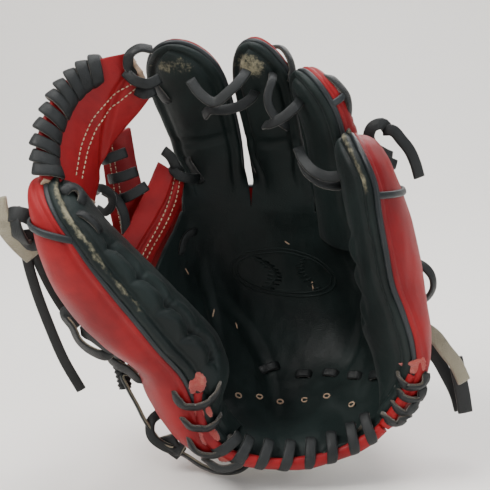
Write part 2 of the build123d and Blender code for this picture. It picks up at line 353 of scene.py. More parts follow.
lace_suede = leather("lace_suede", (0.016, 0.013, 0.009), (0.070, 0.056, 0.038), (0.26, 0.21, 0.14),
                     roughness=0.92, relief=0.8, sheen=0.4, scuff=0.56)
tan_suede = leather("tan_suede", (0.17, 0.155, 0.105), (0.34, 0.305, 0.215), (0.07, 0.065, 0.045),
                    roughness=0.95, relief=1.0, sheen=0.4, scuff=0.52)
lining_leather = leather("lining_leather", (0.30, 0.19, 0.11), (0.42, 0.29, 0.18), (0.20, 0.13, 0.08),
                         roughness=0.6, relief=0.25)
thread = leather("stitch_thread", (0.36, 0.30, 0.20), (0.54, 0.47, 0.33), (0.28, 0.20, 0.13),
                 roughness=0.8, relief=0.3, scuff=0.5)
felt_cloth = leather("felt_cloth", (0.42, 0.40, 0.36), (0.56, 0.54, 0.49), (0.3, 0.28, 0.25),
                     roughness=0.97, relief=0.8, sheen=0.6)
fleece_cloth = leather("fleece_cloth", (0.010, 0.010, 0.011), (0.03, 0.03, 0.032), (0.10, 0.10, 0.10),
                       roughness=0.98, relief=1.0, sheen=0.9)


# ------------------------------------------------------------------ shaped surfaces


def rail(points, count):
    """A smooth curve through its points, at a count of even steps or at the given row numbers."""
    p = np.asarray(points, float)
    n = len(p) - 1
    s = np.clip(np.asarray(count, float), 0, n) if np.ndim(count) else np.linspace(0, n, count)
    k = np.minimum(s.astype(int), n - 1)
    return hermite(p, np.gradient(p, axis=0), k, (s - k)[:, None])


def between(one, other, columns):
    """A grid from one line to another, and its share of the way for each column."""
    share = np.linspace(0, 1, columns)[None, :, None]
    return one[:, None] * (1 - share) + other[:, None] * share, share[..., 0]


def normals_of(p, outward):
    """Unit normals of a grid of points, on the side that outward points to."""
    n = unit(np.cross(np.gradient(p, axis=1), np.gradient(p, axis=0)))
    turned = np.sum(n * outward, axis=-1, keepdims=True) < 0
    return np.where(turned, -n, n)


def wrinkle(p, size, stretch=(1, 1, 1), layers=3):
    """Smooth pseudo-random heights, about -1 to 1, over a grid of points."""
    flat = (p.reshape(-1, 3) / size / np.asarray(stretch)).tolist()
    values = [layered_noise(Vector(v), layers) for v in flat]
    return np.array(values).reshape(p.shape[:2])


def layered_noise(v, layers):
    total, weight = 0.0, 1.0
    for _ in range(layers):
        total += weight * perlin(v)
        v = v * 2.1
        weight *= 0.5
    return total


def push(p, outward, height):
    """Moves each point of a grid along its normal."""
    return p + normals_of(p, outward) * np.asarray(height)[..., None]


def edge_distance(p):
    """Distance of each point of a grid from its row's first and last points, along the row."""
    step = np.linalg.norm(np.diff(p, axis=1), axis=2)
    run = np.concatenate([np.zeros((len(p), 1)), np.cumsum(step, axis=1)], axis=1)
    return run, run[:, -1:] - run


def crowded(count, ends=0.65):
    """Numbers from 0 to 1 that stand closer together at both ends."""
    t = np.linspace(0, 1, count)
    return t - ends * np.sin(2 * math.pi * t) / (2 * math.pi)


def across_section(front, apex, rear, columns, power=2.0):
    """Half a superellipse from front to rear through apex, for each row of the three rails."""
    theta = math.pi * crowded(columns)
    c = np.sign(np.cos(theta)) * np.abs(np.cos(theta)) ** (2 / power)
    s = np.abs(np.sin(theta)) ** (2 / power)
    middle = (front + rear) / 2
    surface = middle[:, None] + (front - middle)[:, None] * c[None, :, None]
    surface = surface + (apex - middle)[:, None] * s[None, :, None]
    return surface, surface - middle[:, None] + (apex - middle)[:, None] * 0.5


def limb_rows(start, narrow, tip, rows):
    """Row numbers along a limb and its width share, which falls to nothing at the tip."""
    straight = np.linspace(start, narrow, int(rows * 0.62), endpoint=False)
    turn = np.linspace(0, math.pi / 2, rows - len(straight))
    along = np.concatenate([straight, narrow + (tip - narrow) * np.sin(turn)])
    share = np.concatenate([np.ones(len(straight)), np.cos(turn)])
    return along, np.maximum(share, 0.02)


def extended(points, along):
    """A rail read at any row number, carried on straight beyond its last point."""
    p = np.asarray(points, float)
    n = len(p) - 1
    beyond = np.maximum(along - n, 0)[:, None]
    return rail(p, np.minimum(along, n)) + beyond * (p[-1] - p[-2])


class Limb:
    """The thumb or little finger side of the glove, from the heel to its tip, as four rails."""

    def __init__(self, front, outer, rear, inner, inner_rear, narrow, tip):
        self.rails = dict(front=front, outer=outer, rear=rear, inner=inner, inner_rear=inner_rear)
        self.narrow, self.tip = narrow, tip

    def read(self, name, along):
        start = len(self.rails["front"]) - len(self.rails[name])
        return extended(self.rails[name], along - start)

    def surface(self, outer, start, rows, columns, power=2.0):
        along, share = limb_rows(start, self.narrow, self.tip, rows)
        front = self.read("front", along)
        rear = self.read("rear" if outer else "inner_rear", along)
        apex = self.read("outer" if outer else "inner", along)
        middle = (front + rear) / 2
        front, rear = (middle + (edge - middle) * share[:, None] for edge in (front, rear))
        apex = middle + (apex - middle) * np.sqrt(share)[:, None]
        surface, outward = across_section(front, apex, rear, columns, power)
        return surface, outward, along

    def seam(self, start, count):
        along, share = limb_rows(start, self.narrow, self.tip, count)
        front, rear = self.read("front", along), self.read("rear", along)
        middle = (front + rear) / 2
        return middle + (front - middle) * share[:, None]


thumb = Limb(
    front=[(-4, -46, 26), (-16, -48, 42), (-22, -50, 60), (-29, -53, 77), (-42, -57, 94),
           (-54, -60, 111), (-65, -62, 126), (-76, -63, 141), (-87, -63, 157), (-104, -64, 178)],
    outer=[(-20, -24, 15), (-38, -18, 30), (-52, -16, 50), (-62, -16, 70), (-78, -22, 88),
           (-93, -28, 106), (-104, -34, 127), (-111, -38, 147), (-115, -38, 165), (-121, -36, 184)],
    rear=[(-8, 6, 20), (-22, 20, 38), (-38, 34, 58), (-46, 36, 80), (-52, 24, 98),
          (-56, 4, 116), (-61, -7, 131), (-70, -10, 146), (-80, -10, 160), (-92, -2, 182)],
    inner=[(2, -36, 34), (-6, -35, 53), (-2, -35, 72), (-8, -31, 90), (-20, -34, 106),
           (-33, -38, 121), (-46, -40, 135), (-60, -43, 149), (-73, -44, 164), (-86, -40, 182)],
    inner_rear=[(6, -22, 32), (-12, -16, 50), (-18, -6, 68), (-24, 0, 84), (-36, -4, 100),
                (-50, -6, 117), (-60, -8, 131), (-70, -10, 146), (-80, -10, 160), (-92, -2, 182)],
    narrow=7.4, tip=9.45,
)
little = Limb(
    front=[(88, -40, 41), (101, -43, 59), (107, -49, 78), (104, -55, 97), (98, -58, 115),
           (91, -58, 133), (87, -58, 152), (83, -57, 172), (80, -55, 190), (72, -54, 208)],
    outer=[(100, -20, 34), (112, -22, 54), (118, -24, 76), (119, -24, 97), (117, -24, 115),
           (114, -24, 132), (110, -24, 150), (105, -22, 168), (99, -19, 188), (92, -14, 208)],
    rear=[(92, 10, 34), (104, 24, 54), (106, 26, 76), (104, 16, 97), (104, 4, 115),
          (102, -4, 133), (99, -8, 150), (94, -10, 168), (88, -8, 188), (74, 0, 208)],
    inner=[(90, -30, 44), (90, -28, 62), (87, -25, 80), (80, -24, 97), (80, -24, 115),
           (76, -24, 133), (72, -24, 150), (68, -24, 168), (64, -24, 187), (56, -26, 206)],
    inner_rear=[(90, -18, 42), (98, -10, 60), (98, 2, 79), (98, 6, 97), (100, 4, 115),
                (100, -4, 133), (97, -8, 150), (93, -10, 168), (88, -8, 188), (74, 0, 208)],
    narrow=7.6, tip=9.3,
)


class Stall:
    """A finger stall along a path: half its section is the front leather, half the back."""

    def __init__(self, path, across, half_width, crown, bulge):
        self.path = curve(path, 160)
        self.across = unit(across)
        self.half_width, self.crown, self.bulge = half_width, crown, bulge
        self.length = distance_along(self.path)[-1]

    def frames(self, u):
        spot = np.clip(u, 0, 1) * (len(self.path) - 1)
        k = np.arange(len(self.path))
        middle = read_at(spot, k, self.path)
        along = unit(read_at(spot, k, tangents(self.path)))
        beyond = np.maximum(u - 1, 0) + np.minimum(u, 0)
        middle = middle + along * (beyond * self.length)[:, None]
        share = np.clip(u, 0, 1)[:, None]
        across = unit(self.across[0] * (1 - share) + self.across[1] * share)
        across = unit(across - along * np.sum(across * along, axis=1, keepdims=True))
        return middle, across, unit(np.cross(along, across))

    def rows(self, start, rows):
        return limb_rows(start, 0.72, 1.03, rows)

    def rails(self, u, share, back):
        middle, across, behind = self.frames(u)
        wide = (self.half_width[0] * (1 - u) + self.half_width[1] * u) * share
        depth = self.bulge if back else self.crown
        deep = (depth[0] * (1 - u) + depth[1] * u) * np.sqrt(share) * (1 if back else -1)
        reach = across * wide[:, None]
        return middle + reach, middle + behind * deep[:, None], middle - reach

    def surface(self, back, start, rows, columns, power=2.0):
        u, share = self.rows(start, rows)
        one, apex, other = self.rails(u, share, back)
        surface, outward = across_section(one, apex, other, columns, power)
        return surface, outward, u

    def seams(self, start, rows):
        """One line that runs up one seam, over the tip and down the other."""
        u, share = self.rows(start, rows)
        one, _, other = self.rails(u, share, False)
        return np.concatenate([one, other[-2::-1]])


stalls = {
    "index": Stall([(-12, 57, 162), (-17, 46, 202), (-27, 28, 238), (-37, 12, 263)],
                   [(1, 0, 0), (0.97, -0.2, 0)], (19.5, 25), (11, 12), (22, 12)),
    "middle": Stall([(35, 57, 162), (28, 44, 204), (20, 26, 242), (13, 14, 264)],
                    [(0.98, -0.2, 0), (0.88, -0.45, 0)], (18, 19), (11, 12), (21, 12)),
    "ring": Stall([(67, 20, 160), (62, 12, 188), (54, 5, 222), (43, 1, 247)],
                  [(0.5, -0.87, 0), (0.4, -0.9, 0)], (21, 21), (9, 10), (22, 14)),
}


# ------------------------------------------------------------------ pocket

levels = np.array([
    (17, 14, 50, -43, -42), (26, 0, 62, -43, -26), (34, -13, 80, -44, 4), (48, -20, 93, -44, 33),
    (66, -25, 101, -46, 47), (92, -38, 103, -52, 55), (125, -56, 94, -56, 54), (156, -62, 84, -56, 47),
], float)
BOWL_POWER = 2.3
smooth_levels = rail(levels, 240)


def level_values(z):
    """The thumb side, little side, rim and depth of the pocket at each height."""
    inside = np.clip(z, levels[0, 0], levels[-1, 0])
    return [np.interp(inside, smooth_levels[:, 0], smooth_levels[:, k]) for k in (1, 2, 3, 4)]


def bowl(height, angle):
    """Points of the pocket for arrays of height and of angle in degrees, -90 thumb to 90 little."""
    z = np.asarray(height, float)
    left, right, rim, deep = level_values(z)
    a = np.radians(angle)
    side = np.sign(a) * np.abs(np.sin(a)) ** (2 / BOWL_POWER)
    back = np.abs(np.cos(a)) ** (2 / BOWL_POWER)
    above = np.maximum(z - levels[-1, 0], 0)
    x = (left + right) / 2 + side * (right - left) / 2
    y = rim + back * (deep - rim) - 0.18 * above
    return np.stack(np.broadcast_arrays(x, y, z), axis=-1)


def angle_at(x, height=156.0):
    """The pocket angle at which the bowl has this x."""
    left, right, _, _ = level_values(height)
    side = np.clip((np.asarray(x, float) - (left + right) / 2) / ((right - left) / 2), -1, 1)
    return np.degrees(np.arcsin(np.sign(side) * np.abs(side) ** (BOWL_POWER / 2)))


CROTCH_X, PALM_TOP = 12.0, 158.0    # crotch of index and middle fingers
PALM_FOOT = 18.5
FINGER_GRID = (130, 56)


# ------------------------------------------------------------------ palm with its two joined fingers


def fold(d, centre, width, height):
    """A ridge, or a groove when height is below 0, at a distance from an edge."""
    return height * hump(centre, width, d)


def rolled_edge(near, far):
    """The folded-over edge of a front leather beside its welt, as a height along a row."""
    d = np.minimum(near, far)
    return fold(d, 4.4, 4.0, 1.9) - fold(d, 9.2, 2.6, 1.2) - fold(d, 0.0, 1.6, 1.0)


def palm_heights(grid, z, a):
    """Pads, creases and folds of the palm leather, towards the inside of the pocket."""
    low = smoothstep(62, 30, z)
    heel_pad = 6.5 * hump(34, 34, np.abs(a)) * hump(40, 26, z) * low
    edge = 2.2 * hump(24, 9, z)
    hinge = -2.4 * hump(-6, 7, a + (z - 30) * 0.35) * hump(60, 45, z)
    crease_little = -1.8 * hump(0, 4.5, a - 33 - (z - 40) * 0.22) * hump(80, 42, z)
    crease_thumb = -2.0 * hump(0, 5, a + 46 - (z - 60) * 0.25) * hump(90, 45, z)
    cup = -3.0 * hump(10, 42, a) * hump(92, 44, z)
    soft = wrinkle(grid, 34, (1, 1, 2.2)) * 1.5 + wrinkle(grid, 11, (1, 1, 1.6), 2) * 0.28
    return heel_pad + edge + hinge + crease_little + crease_thumb + cup + soft * smoothstep(20, 40, z)


def palm_top(a):
    """Height at which the palm leather ends, or passes into a finger, for each angle."""
    left = np.interp(a, [-88, -70, -52, -40, -33], [104, 116, 132, 146, PALM_TOP])
    right = np.interp(a, [32, 50, 88], [PALM_TOP, 160, 118])
    return np.where(a < 0, left, right)


def finger_front(stall, low_x, high_x):
    """Front leather of a finger that grows out of the palm's top edge."""
    surface, outward, u = stall.surface(False, 0.0, *FINGER_GRID)
    across = np.linspace(0, 1, FINGER_GRID[1])[None]
    a = angle_at(np.linspace(high_x, low_x, FINGER_GRID[1]))
    climb = u[:, None] * stall.length
    palm = bowl(PALM_TOP + climb, np.broadcast_to(a, FINGER_GRID))
    blend = smoothstep(0.0, 0.34, u)[:, None]
    grid = palm * (1 - blend[..., None]) + surface * blend[..., None]
    near, far = edge_distance(grid)
    shown = smoothstep(0.05, 0.3, u)[:, None]
    soft = wrinkle(grid, 26, (1, 1, 2.0)) * 0.9 * shown
    knuckle = -1.2 * hump(0.42, 0.05, u)[:, None] * hump(0.5, 0.5, across)
    height = rolled_edge(near, far) * shown + soft + knuckle
    wear = 0.12 * hump(4.4, 4.5, np.minimum(near, far)) * shown + 0.10 * shown
    wear = wear + 0.58 * hump(0.93, 0.13, u)[:, None] * hump(0.52, 0.36, across)
    return push(grid, outward, height), a, wear


def make_palm():
    """The palm leather with the index and middle finger fronts that grow out of its top edge."""
    index_grid, index_a, index_wear = finger_front(stalls["index"], -31.5, CROTCH_X)
    middle_grid, middle_a, middle_wear = finger_front(stalls["middle"], CROTCH_X, 53.0)
    index_a, middle_a = index_a[::-1], middle_a[::-1]
    left = np.linspace(-86, index_a[0], 70, endpoint=False)
    right = np.linspace(middle_a[-1], 86, 70)[1:]
    a = np.concatenate([left, index_a, middle_a[1:], right])
    share = np.linspace(0, 1, 150)[:, None]
    z = PALM_FOOT + (palm_top(a)[None] - PALM_FOOT) * share
    angles = np.broadcast_to(a, z.shape)
    grid = bowl(z, angles)
    fade = smoothstep(1.0, 0.9, share) * np.ones_like(z)
    grid = push(grid, INSIDE - grid, palm_heights(grid, z, angles) * fade)
    rim_wear = 0.42 * hump(19, 7, z) + 0.30 * hump(88, 6, np.abs(angles)) * smoothstep(90, 50, z)
    spots = 0.08 * hump(60, 60, z) + 0.10 * hump(32, 20, z)
    parts = [grid_part(grid, rim_wear + spots)]
    for finger, worn in ((index_grid, index_wear), (middle_grid, middle_wear)):
        parts.append(grid_part(finger, worn + 0.10 * hump(PALM_TOP, 20, finger[..., 2])))
    palm = join_meshes("palm", parts, [black_leather])
    tidy_and_thicken(palm, PALM_LEATHER, Vector((0.03, -0.4, 0.1)))
    settle(palm, "black_leather", None, "palm_leather", "index_front", "middle_front")
    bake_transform(palm)
    return palm


def palm_layer(name, node, low, high, bottom, top, depth, shape):
    """A felt pad behind the palm leather, following its creases."""
    rows, columns = shape
    a = np.linspace(low, high, columns)[None] * np.ones((rows, 1))
    z = bottom + (top(a) - bottom) * np.linspace(0, 1, rows)[:, None]
    grid = bowl(z, a)
    inward = INSIDE - grid
    grid = push(grid, inward, palm_heights(grid, z, a) - depth)
    settle(shell_piece(name, grid, inward, felt_cloth, PAD), "felt", "root", node)


def make_palm_felt():
    palm_layer("palm_felt_layer", "palm_felt", -56, 56, 30, lambda a: np.minimum(150, palm_top(a) - 9),
               5.2, (60, 80))
    for side, low, high in (("thumb", -52, -12), ("little", 14, 52)):
        palm_layer(f"heel_{side}_pad_layer", f"heel_pad_{side}", low, high, 26, lambda a: 54 + 0 * a,
                   9.5, (24, 30))


def at(x, y, z):
    """A place in the frame, in metres."""
    return tuple((np.array([x, y, z], float) - BASE) * MM)


def tidy_and_thicken(piece, thickness, seen_from):
    """Joins touching edges, turns the faces to the side they are seen from and adds a thickness."""
    mesh = bmesh.new()
    mesh.from_mesh(piece.data)
    bmesh.ops.remove_doubles(mesh, verts=mesh.verts, dist=0.08 * MM)
    bmesh.ops.recalc_face_normals(mesh, faces=mesh.faces)
    turned = sum(face.calc_area() * face.normal.dot(seen_from - face.calc_center_median())
                 for face in mesh.faces)
    if turned < 0:
        bmesh.ops.reverse_faces(mesh, faces=mesh.faces)
    mesh.to_mesh(piece.data)
    mesh.free()
    thicken(piece, thickness)


def surface_tree(*pieces):
    """The surfaces of some pieces, ready to have places dropped onto them."""
    points, faces, first = [], [], 0
    for piece in pieces:
        points += [vertex.co for vertex in piece.data.vertices]
        faces += [tuple(first + v for v in face.vertices) for face in piece.data.polygons]
        first = len(points)
    return BVHTree.FromPolygons(points, faces)


def onto(tree, places, lift=0.0, reach=45):
    """Drops places onto a surface along the line of sight from the front: (points, normals)."""
    eye = Vector(at(*EYE))
    points, facings = [], []
    for place in places:
        spot = Vector(at(*place))
        ray = (spot - eye).normalized()
        hit, normal, _, _ = tree.ray_cast(eye, ray)
        if hit is None or (hit - spot).length > reach * MM:
            hit, normal = spot, -ray
        if normal.dot(ray) > 0:
            normal = -normal
        points.append(np.array(hit) / MM + BASE)
        facings.append(np.array(normal))
    facings = unit(np.array(facings))
    return np.array(points) + facings * lift, facings


def lace_on(tree, places, lift=1.0, width=6.0, thick=2.4, sink=3.0, wear=0.25, tilt=(0, 0, 0)):
    """A lace that lies on a surface and goes into a hole at both ends."""
    points, facings = onto(tree, curve(places, point_count(places, 1.5, 10)))
    for _ in range(3):
        facings[1:-1] = unit(facings[:-2] + facings[1:-1] * 2 + facings[2:])
        points[1:-1] = (points[:-2] + points[1:-1] * 2 + points[2:]) / 4
    ends = np.abs(np.linspace(-1, 1, len(points))) ** 6
    points = points + facings * (lift - (sink + lift) * ends)[:, None]
    return ribbon_part(points, unit(facings + np.array(tilt)), width, thick, wear)


def anchored(tree, places, depths=(1, 1), ends=(True, True)):
    """A lace path drawn towards the viewer by a share at each end, and carried on into the leather."""
    eye = np.array(EYE)
    shares = np.linspace(*depths, len(places))
    path = [tuple(eye + (np.array(place) - eye) * share) for place, share in zip(places, shares)]
    roots = []
    for wanted, place in zip(ends, (path[0], path[-1])):
        free = Vector(at(*place))
        root = tree.find_nearest(free)[0]
        root = root + (root - free).normalized() * 2 * MM
        roots.append([tuple(np.array(root) / MM + BASE)] if wanted else [])
    return roots[0] + path + roots[1]


def flap_part(outline, facing, bulge, sides=36, wear=0.08):
    """A small thick scrap of leather: a crowned patch inside a closed outline."""
    ring = curve([*outline, outline[0]], sides + 1)[:-1]
    centre = ring.mean(axis=0)
    facing = unit(facing)
    if np.dot(np.cross(ring[0] - centre, ring[6] - centre), facing) < 0:
        ring = ring[::-1]
    rings = [ring - facing * 0.8]
    for share in (0.0, 0.08, 0.2, 0.4, 0.65, 0.9):
        crown = math.sqrt(1 - (1 - share) ** 2)
        ragged = 1 + 0.06 * np.sin(np.arange(sides) * 2.7) * (1 - share)
        rings.append(centre + (ring - centre) * ((1 - share) * ragged)[:, None] + facing * bulge * crown)
    points = np.concatenate(rings)
    faces = capped_faces(len(rings), sides)
    return points, faces, [0] * len(faces), np.full(len(points), wear)


def inner_layer(name, surface, inset, thickness, material, slot, body):
    """A pad or stiffener that follows a shell from inside, clear of its seams and tip."""
    rows, columns = surface[0].shape[:2]
    kept = (slice(0, int(rows * 0.78)), slice(int(columns * 0.12), int(columns * 0.88)))
    grid, outward = surface[0][kept], surface[1][kept]
    grid = push(grid, outward, np.full(grid.shape[:2], -inset))
    settle(shell_piece(f"{name}_layer", grid, outward, material, thickness), slot, body, name)


def shell_piece(name, grid, outward, material, thickness, wear=None):
    """A leather shell from a grid of points, shown on the side that outward points to."""
    return thicken(make_piece(name, grid.reshape(-1, 3), outward_faces(grid, outward), material, wear=wear),
                   thickness)


def outward_faces(grid, outward):
    """The quads of a grid, turned to face outward."""
    n = np.cross(np.gradient(grid, axis=1), np.gradient(grid, axis=0))
    faces = grid_faces(*grid.shape[:2])
    return [face[::-1] for face in faces] if np.sum(n * outward) < 0 else faces


def make_backs():
    """Red backs of the three middle fingers, with the black strip that crosses the middle and ring tips."""
    for name, stall in stalls.items():
        body = "ring" if name == "ring" else "root"
        grid, outward, u = stall.surface(True, -0.16, 100, 48, 2.3)
        near, far = edge_distance(grid)
        d = np.minimum(near, far)
        knuckles = sum(hump(place, 0.03, u) for place in (0.30, 0.36, 0.62, 0.67))[:, None]
        height = wrinkle(grid, 30, (1, 1, 1.8)) * 0.9 + fold(d, 3.0, 2.6, 0.9) - fold(d, 6.0, 2, 0.5)
        height = height - 0.7 * knuckles * hump(0.5, 0.42, np.linspace(0, 1, 48))[None]
        wear = 0.30 * hump(0, 7, d) + 0.25 * smoothstep(0.85, 1.0, u)[:, None]
        back = shell_piece(f"{name}_back_leather", push(grid, outward, height), outward, red_leather,
                           LEATHER, wear)
        settle(back, "red_leather", body, f"{name}_back")
        make_welt(f"{name}_piping", stall.seams(0.02, 90), body, f"{name}_welt")
        inner_layer(f"{name}_pad", stall.surface(False, 0.06, 60, 30), 3.6, FINGER_PAD, felt_cloth, "felt",
                    body)
        if name != "index":
            make_cross_strip(name, grid, outward, u, 0.8, body)


def make_welt(name, path, body, node):
    """The rolled piping that shows between the front and back leathers."""
    cord = tube_part(curve_even(path, 1.2), 1.75, 10, wear=0.22)
    settle(join_meshes(name, [cord], [welt_leather]), "black_piping", body, node)


def curve_even(path, step):
    """The points of a path at even steps of about the given length."""
    run = distance_along(path)
    return read_at(np.linspace(0, run[-1], max(int(run[-1] / step), 4)), run, path)


def make_cross_strip(name, grid, outward, u, place, body):
    """A narrow rolled strip sewn over the back of a stall."""
    row = int(np.argmin(np.abs(u - place)))
    line = push(grid, outward, np.full(grid.shape[:2], 0.6))[row]
    facing = normals_of(grid, outward)[row]
    strip = join_meshes(f"{name}_cross_piping", [ribbon_part(line, facing, 4.2, 2.4, wear=0.25)],
                        [welt_leather, welt_leather])
    settle(strip, "black_piping", body, f"{name}_cross_welt")


def make_ring():
    stall = stalls["ring"]
    grid, outward, u = stall.surface(False, -0.22, 120, 52)
    near, far = edge_distance(grid)
    shown = smoothstep(0.0, 0.2, u)[:, None]
    height = rolled_edge(near, far) * shown + wrinkle(grid, 24, (1, 1, 2)) * 0.9
    across = np.linspace(0, 1, 52)[None]
    wear = 0.40 * hump(0.78, 0.22, u)[:, None] * hump(0.50, 0.22, across) + 0.10
    front = shell_piece("ring_front_leather", push(grid, outward, height), outward, black_leather,
                        LEATHER, wear)
    settle(front, "black_leather", "ring", "ring_front")


def scallops(run, spots):
    """Arcs that rise between neighbouring pinch points of a seam and meet at each pinch."""
    spots = np.array(spots)
    k = np.clip(np.searchsorted(spots, run) - 1, 0, len(spots) - 2)
    t = np.clip((run - spots[k]) / (spots[k + 1] - spots[k]), 0, 1)
    return 4 * t * (1 - t)


SHELL_POWER = 2.2    # how square the sections of the two outer shells are


def make_side_back(name, limb, shape, grain, wear, strip, inner_start):
    """The red outer shell of the thumb or little finger, its cross strip and its stiffener."""
    grid, outward, v = limb.surface(True, 0, *shape, SHELL_POWER)
    near, _ = edge_distance(grid)
    height = wrinkle(grid, *grain) * 1.1 + fold(near, 3.2, 3, 1.0) - fold(near, 7, 2.5, 0.5)
    if name == "thumb":
        dent = hump(3.3, 1.0, v)[:, None] * hump(0.62, 0.4, np.linspace(0, 1, shape[1]))[None]
        height = height - 2.0 * dent
    back = shell_piece(f"{name}_back_leather", push(grid, outward, height), outward, red_leather, LEATHER,
                       wear * hump(2.5, 5, near) + 0.10)
    settle(back, "red_leather", name, f"{name}_back", f"{name}_side_shell")
    place, columns = strip
    make_cross_strip(name, grid[:, :columns], outward[:, :columns], v, place, name)
    inner_layer(f"{name}_stiffener", limb.surface(True, inner_start, 70, 34, SHELL_POWER), 4.0, STIFFENER,
                lining_leather, "stiffener", name)
    return back


def make_side_front(name, limb, start, shape, place, pinches, wear_and_highlights_of, inner_start, seam_start):
    """The black front of the thumb or little finger, drawn up by laces, with its pad and welt."""
    grid, outward, v = limb.surface(False, start, *shape, 2.0)
    grid = puffed(grid, outward, v, place, pinches)
    grid = push(grid, outward, padded_front(grid, v, place, pinches))
    front = shell_piece(f"{name}_front_leather", grid, outward, black_leather, LEATHER,
                        wear_and_highlights_of(*edge_distance(grid), v[:, None]))
    settle(front, "black_leather", name, f"{name}_front")
    inner_layer(f"{name}_pad", limb.surface(False, inner_start, 70, 34), 4.4, FINGER_PAD, felt_cloth,
                "felt", name)
    make_welt(f"{name}_piping", limb.seam(seam_start, 160), name, f"{name}_welt")
    return front


def thumb_wear_and_highlights(near, far, v):
    """A rubbed streak beside the thumb's seam, painted highlights at the lace pulls, and a pale wash that is
    part dust, part painted light.
    """
    streak = hump(8.5, 6.5, near) * smoothstep(4.2, 6.0, v)
    pinch_highlights = sum(hump(spot, 0.16, v) for spot in thumb_pinches)
    # The 0.19 base is an even pale wash, part dust and part painted light on a front that faces the lamps;
    # the marks at the lace pulls are painted highlights.
    return 0.19 + 0.42 * streak + 0.32 * pinch_highlights * hump(0.30, 0.06, near / (near + far))


def little_wear(near, far, v):
    """A rubbed streak beside the little finger's seam, towards its tip."""
    return 0.14 + 0.48 * hump(7.0, 6.0, near) * smoothstep(6.8, 8.0, v)


def make_thumb():
    back = make_side_back("thumb", thumb, (150, 60), (38, (1, 1, 1.5)), 0.30, (8.05, 46), 1.6)
    return back, make_side_front("thumb", thumb, 0.0, (260, 110), 0.30, thumb_pinches, thumb_wear_and_highlights,
                                 1.6, 1.2)


def padded_front(grid, v, place, spots):
    """Relief of a front panel whose inner seam is drawn up by laces: arcs that meet at each pull."""
    near, far = edge_distance(grid)
    width = near + far
    bow = scallops(v, spots)[:, None]
    gap = near - (place + 0.055 * bow) * width
    live = smoothstep(spots[0] - 0.5, spots[0], v) * smoothstep(spots[-1] + 0.5, spots[-1], v)
    pucker = sum(hump(spot, 0.2, v) for spot in spots)[:, None]
    groove = -2.6 * hump(0, 1.9, gap)
    pads = (2.4 * hump(-8.5, 7.0, gap) + 1.2 * hump(5.5, 4.5, gap)) * bow
    pull = (-2.2 * hump(0, 6, gap) + 0.5 * hump(0, 9, gap) * np.cos(v[:, None] * 30)) * pucker
    relief = (groove + pads + pull) * live[:, None]
    soft = wrinkle(grid, 22, (1, 1, 1.6)) * 0.8 + wrinkle(grid, 7, (1, 1, 1.4), 2) * 0.15
    return relief + rolled_edge(near, near + 50) + soft


# Row numbers at which laces draw up the two fronts, and how the cloth between them is set.
thumb_pinches = (2.9, 3.9, 5.0, 6.2, 7.4)
little_pinches = (3.3, 4.3, 5.3, 6.3)
cloth_settings = {
    "quality": 6, "mass": 0.002, "air_damping": 0.01, "tension_stiffness": 5,
    "compression_stiffness": 5, "bending_stiffness": 0.2, "vertex_group_mass": "hold",
    "use_pressure": True, "uniform_pressure_force": 500.0,
}
CLOTH_FRAMES = 20


def puffed(grid, outward, v, place, spots, limit=3.0):
    """A front panel after a short cloth simulation: it swells between its seams and lace pulls."""
    coarse = grid[::3, ::3]
    near, far = edge_distance(coarse)
    share = near / (near + far)
    pull = sum(hump(spot, 0.3, v[::3]) for spot in spots)[:, None] * hump(place, 0.10, share)
    border = np.maximum(hump(0, 5, near), hump(0, 5, far))
    row = np.arange(len(coarse))[:, None]
    ends = hump(0, 6, row) + hump(len(coarse) - 1, 14, row)
    hold = np.clip(pull * 1.5 + border * 2 + ends * 2, 0, 1)
    faces = outward_faces(coarse, outward[::3, ::3])
    panel = make_piece("cloth_panel", coarse.reshape(-1, 3), faces, black_leather)
    group = panel.vertex_groups.new(name="hold")
    for k, weight in enumerate(hold.ravel()):
        group.add([k], float(weight), "REPLACE")
    cloth = panel.modifiers.new("cloth", "CLOTH")
    for setting, value in cloth_settings.items():
        setattr(cloth.settings, setting, value)
    cloth.settings.effector_weights.gravity = 0.0
    for step in range(1, CLOTH_FRAMES + 1):
        bpy.context.scene.frame_set(step)
    graph = bpy.context.evaluated_depsgraph_get()
    mesh = panel.evaluated_get(graph).data
    spots_now = np.empty(len(mesh.vertices) * 3)
    mesh.vertices.foreach_get("co", spots_now)
    moved = spots_now.reshape(coarse.shape) / MM + BASE - coarse
    bpy.data.objects.remove(panel)
    bpy.context.scene.frame_set(1)
    length = np.linalg.norm(moved, axis=2, keepdims=True)
    moved = moved * np.minimum(1, limit / np.maximum(length, 1e-6))
    return grid + finer(moved, grid.shape[:2])


def finer(coarse, shape):
    """A coarse grid of values read at every row and column of a finer grid."""
    for count in shape:
        spots = np.linspace(0, len(coarse) - 1, count)
        low = np.minimum(spots.astype(int), len(coarse) - 2)
        f = (spots - low)[:, None, None]
        coarse = np.swapaxes(coarse[low] * (1 - f) + coarse[low + 1] * f, 0, 1)
    return coarse


def make_little():
    back = make_side_back("little", little, (140, 56), (36, (1, 1, 1.6)), 0.28, (7.6, 56), 1.4)
    return back, make_side_front("little", little, 0.2, (180, 76), 0.52, little_pinches, little_wear,
                                 1.4, 0.6)


# ------------------------------------------------------------------ web

web_outer = [(-107, -44, 190), (-109, -40, 203), (-108, -32, 220), (-102, -22, 236),
             (-92, -14, 248), (-79, -8, 256), (-62, -2, 260)]
web_inner = [(-82, -16, 172), (-80, -8, 184), (-77, -1, 196), (-71, 3, 208),
             (-64, 6, 217), (-57, 7, 224), (-49, 6, 234)]


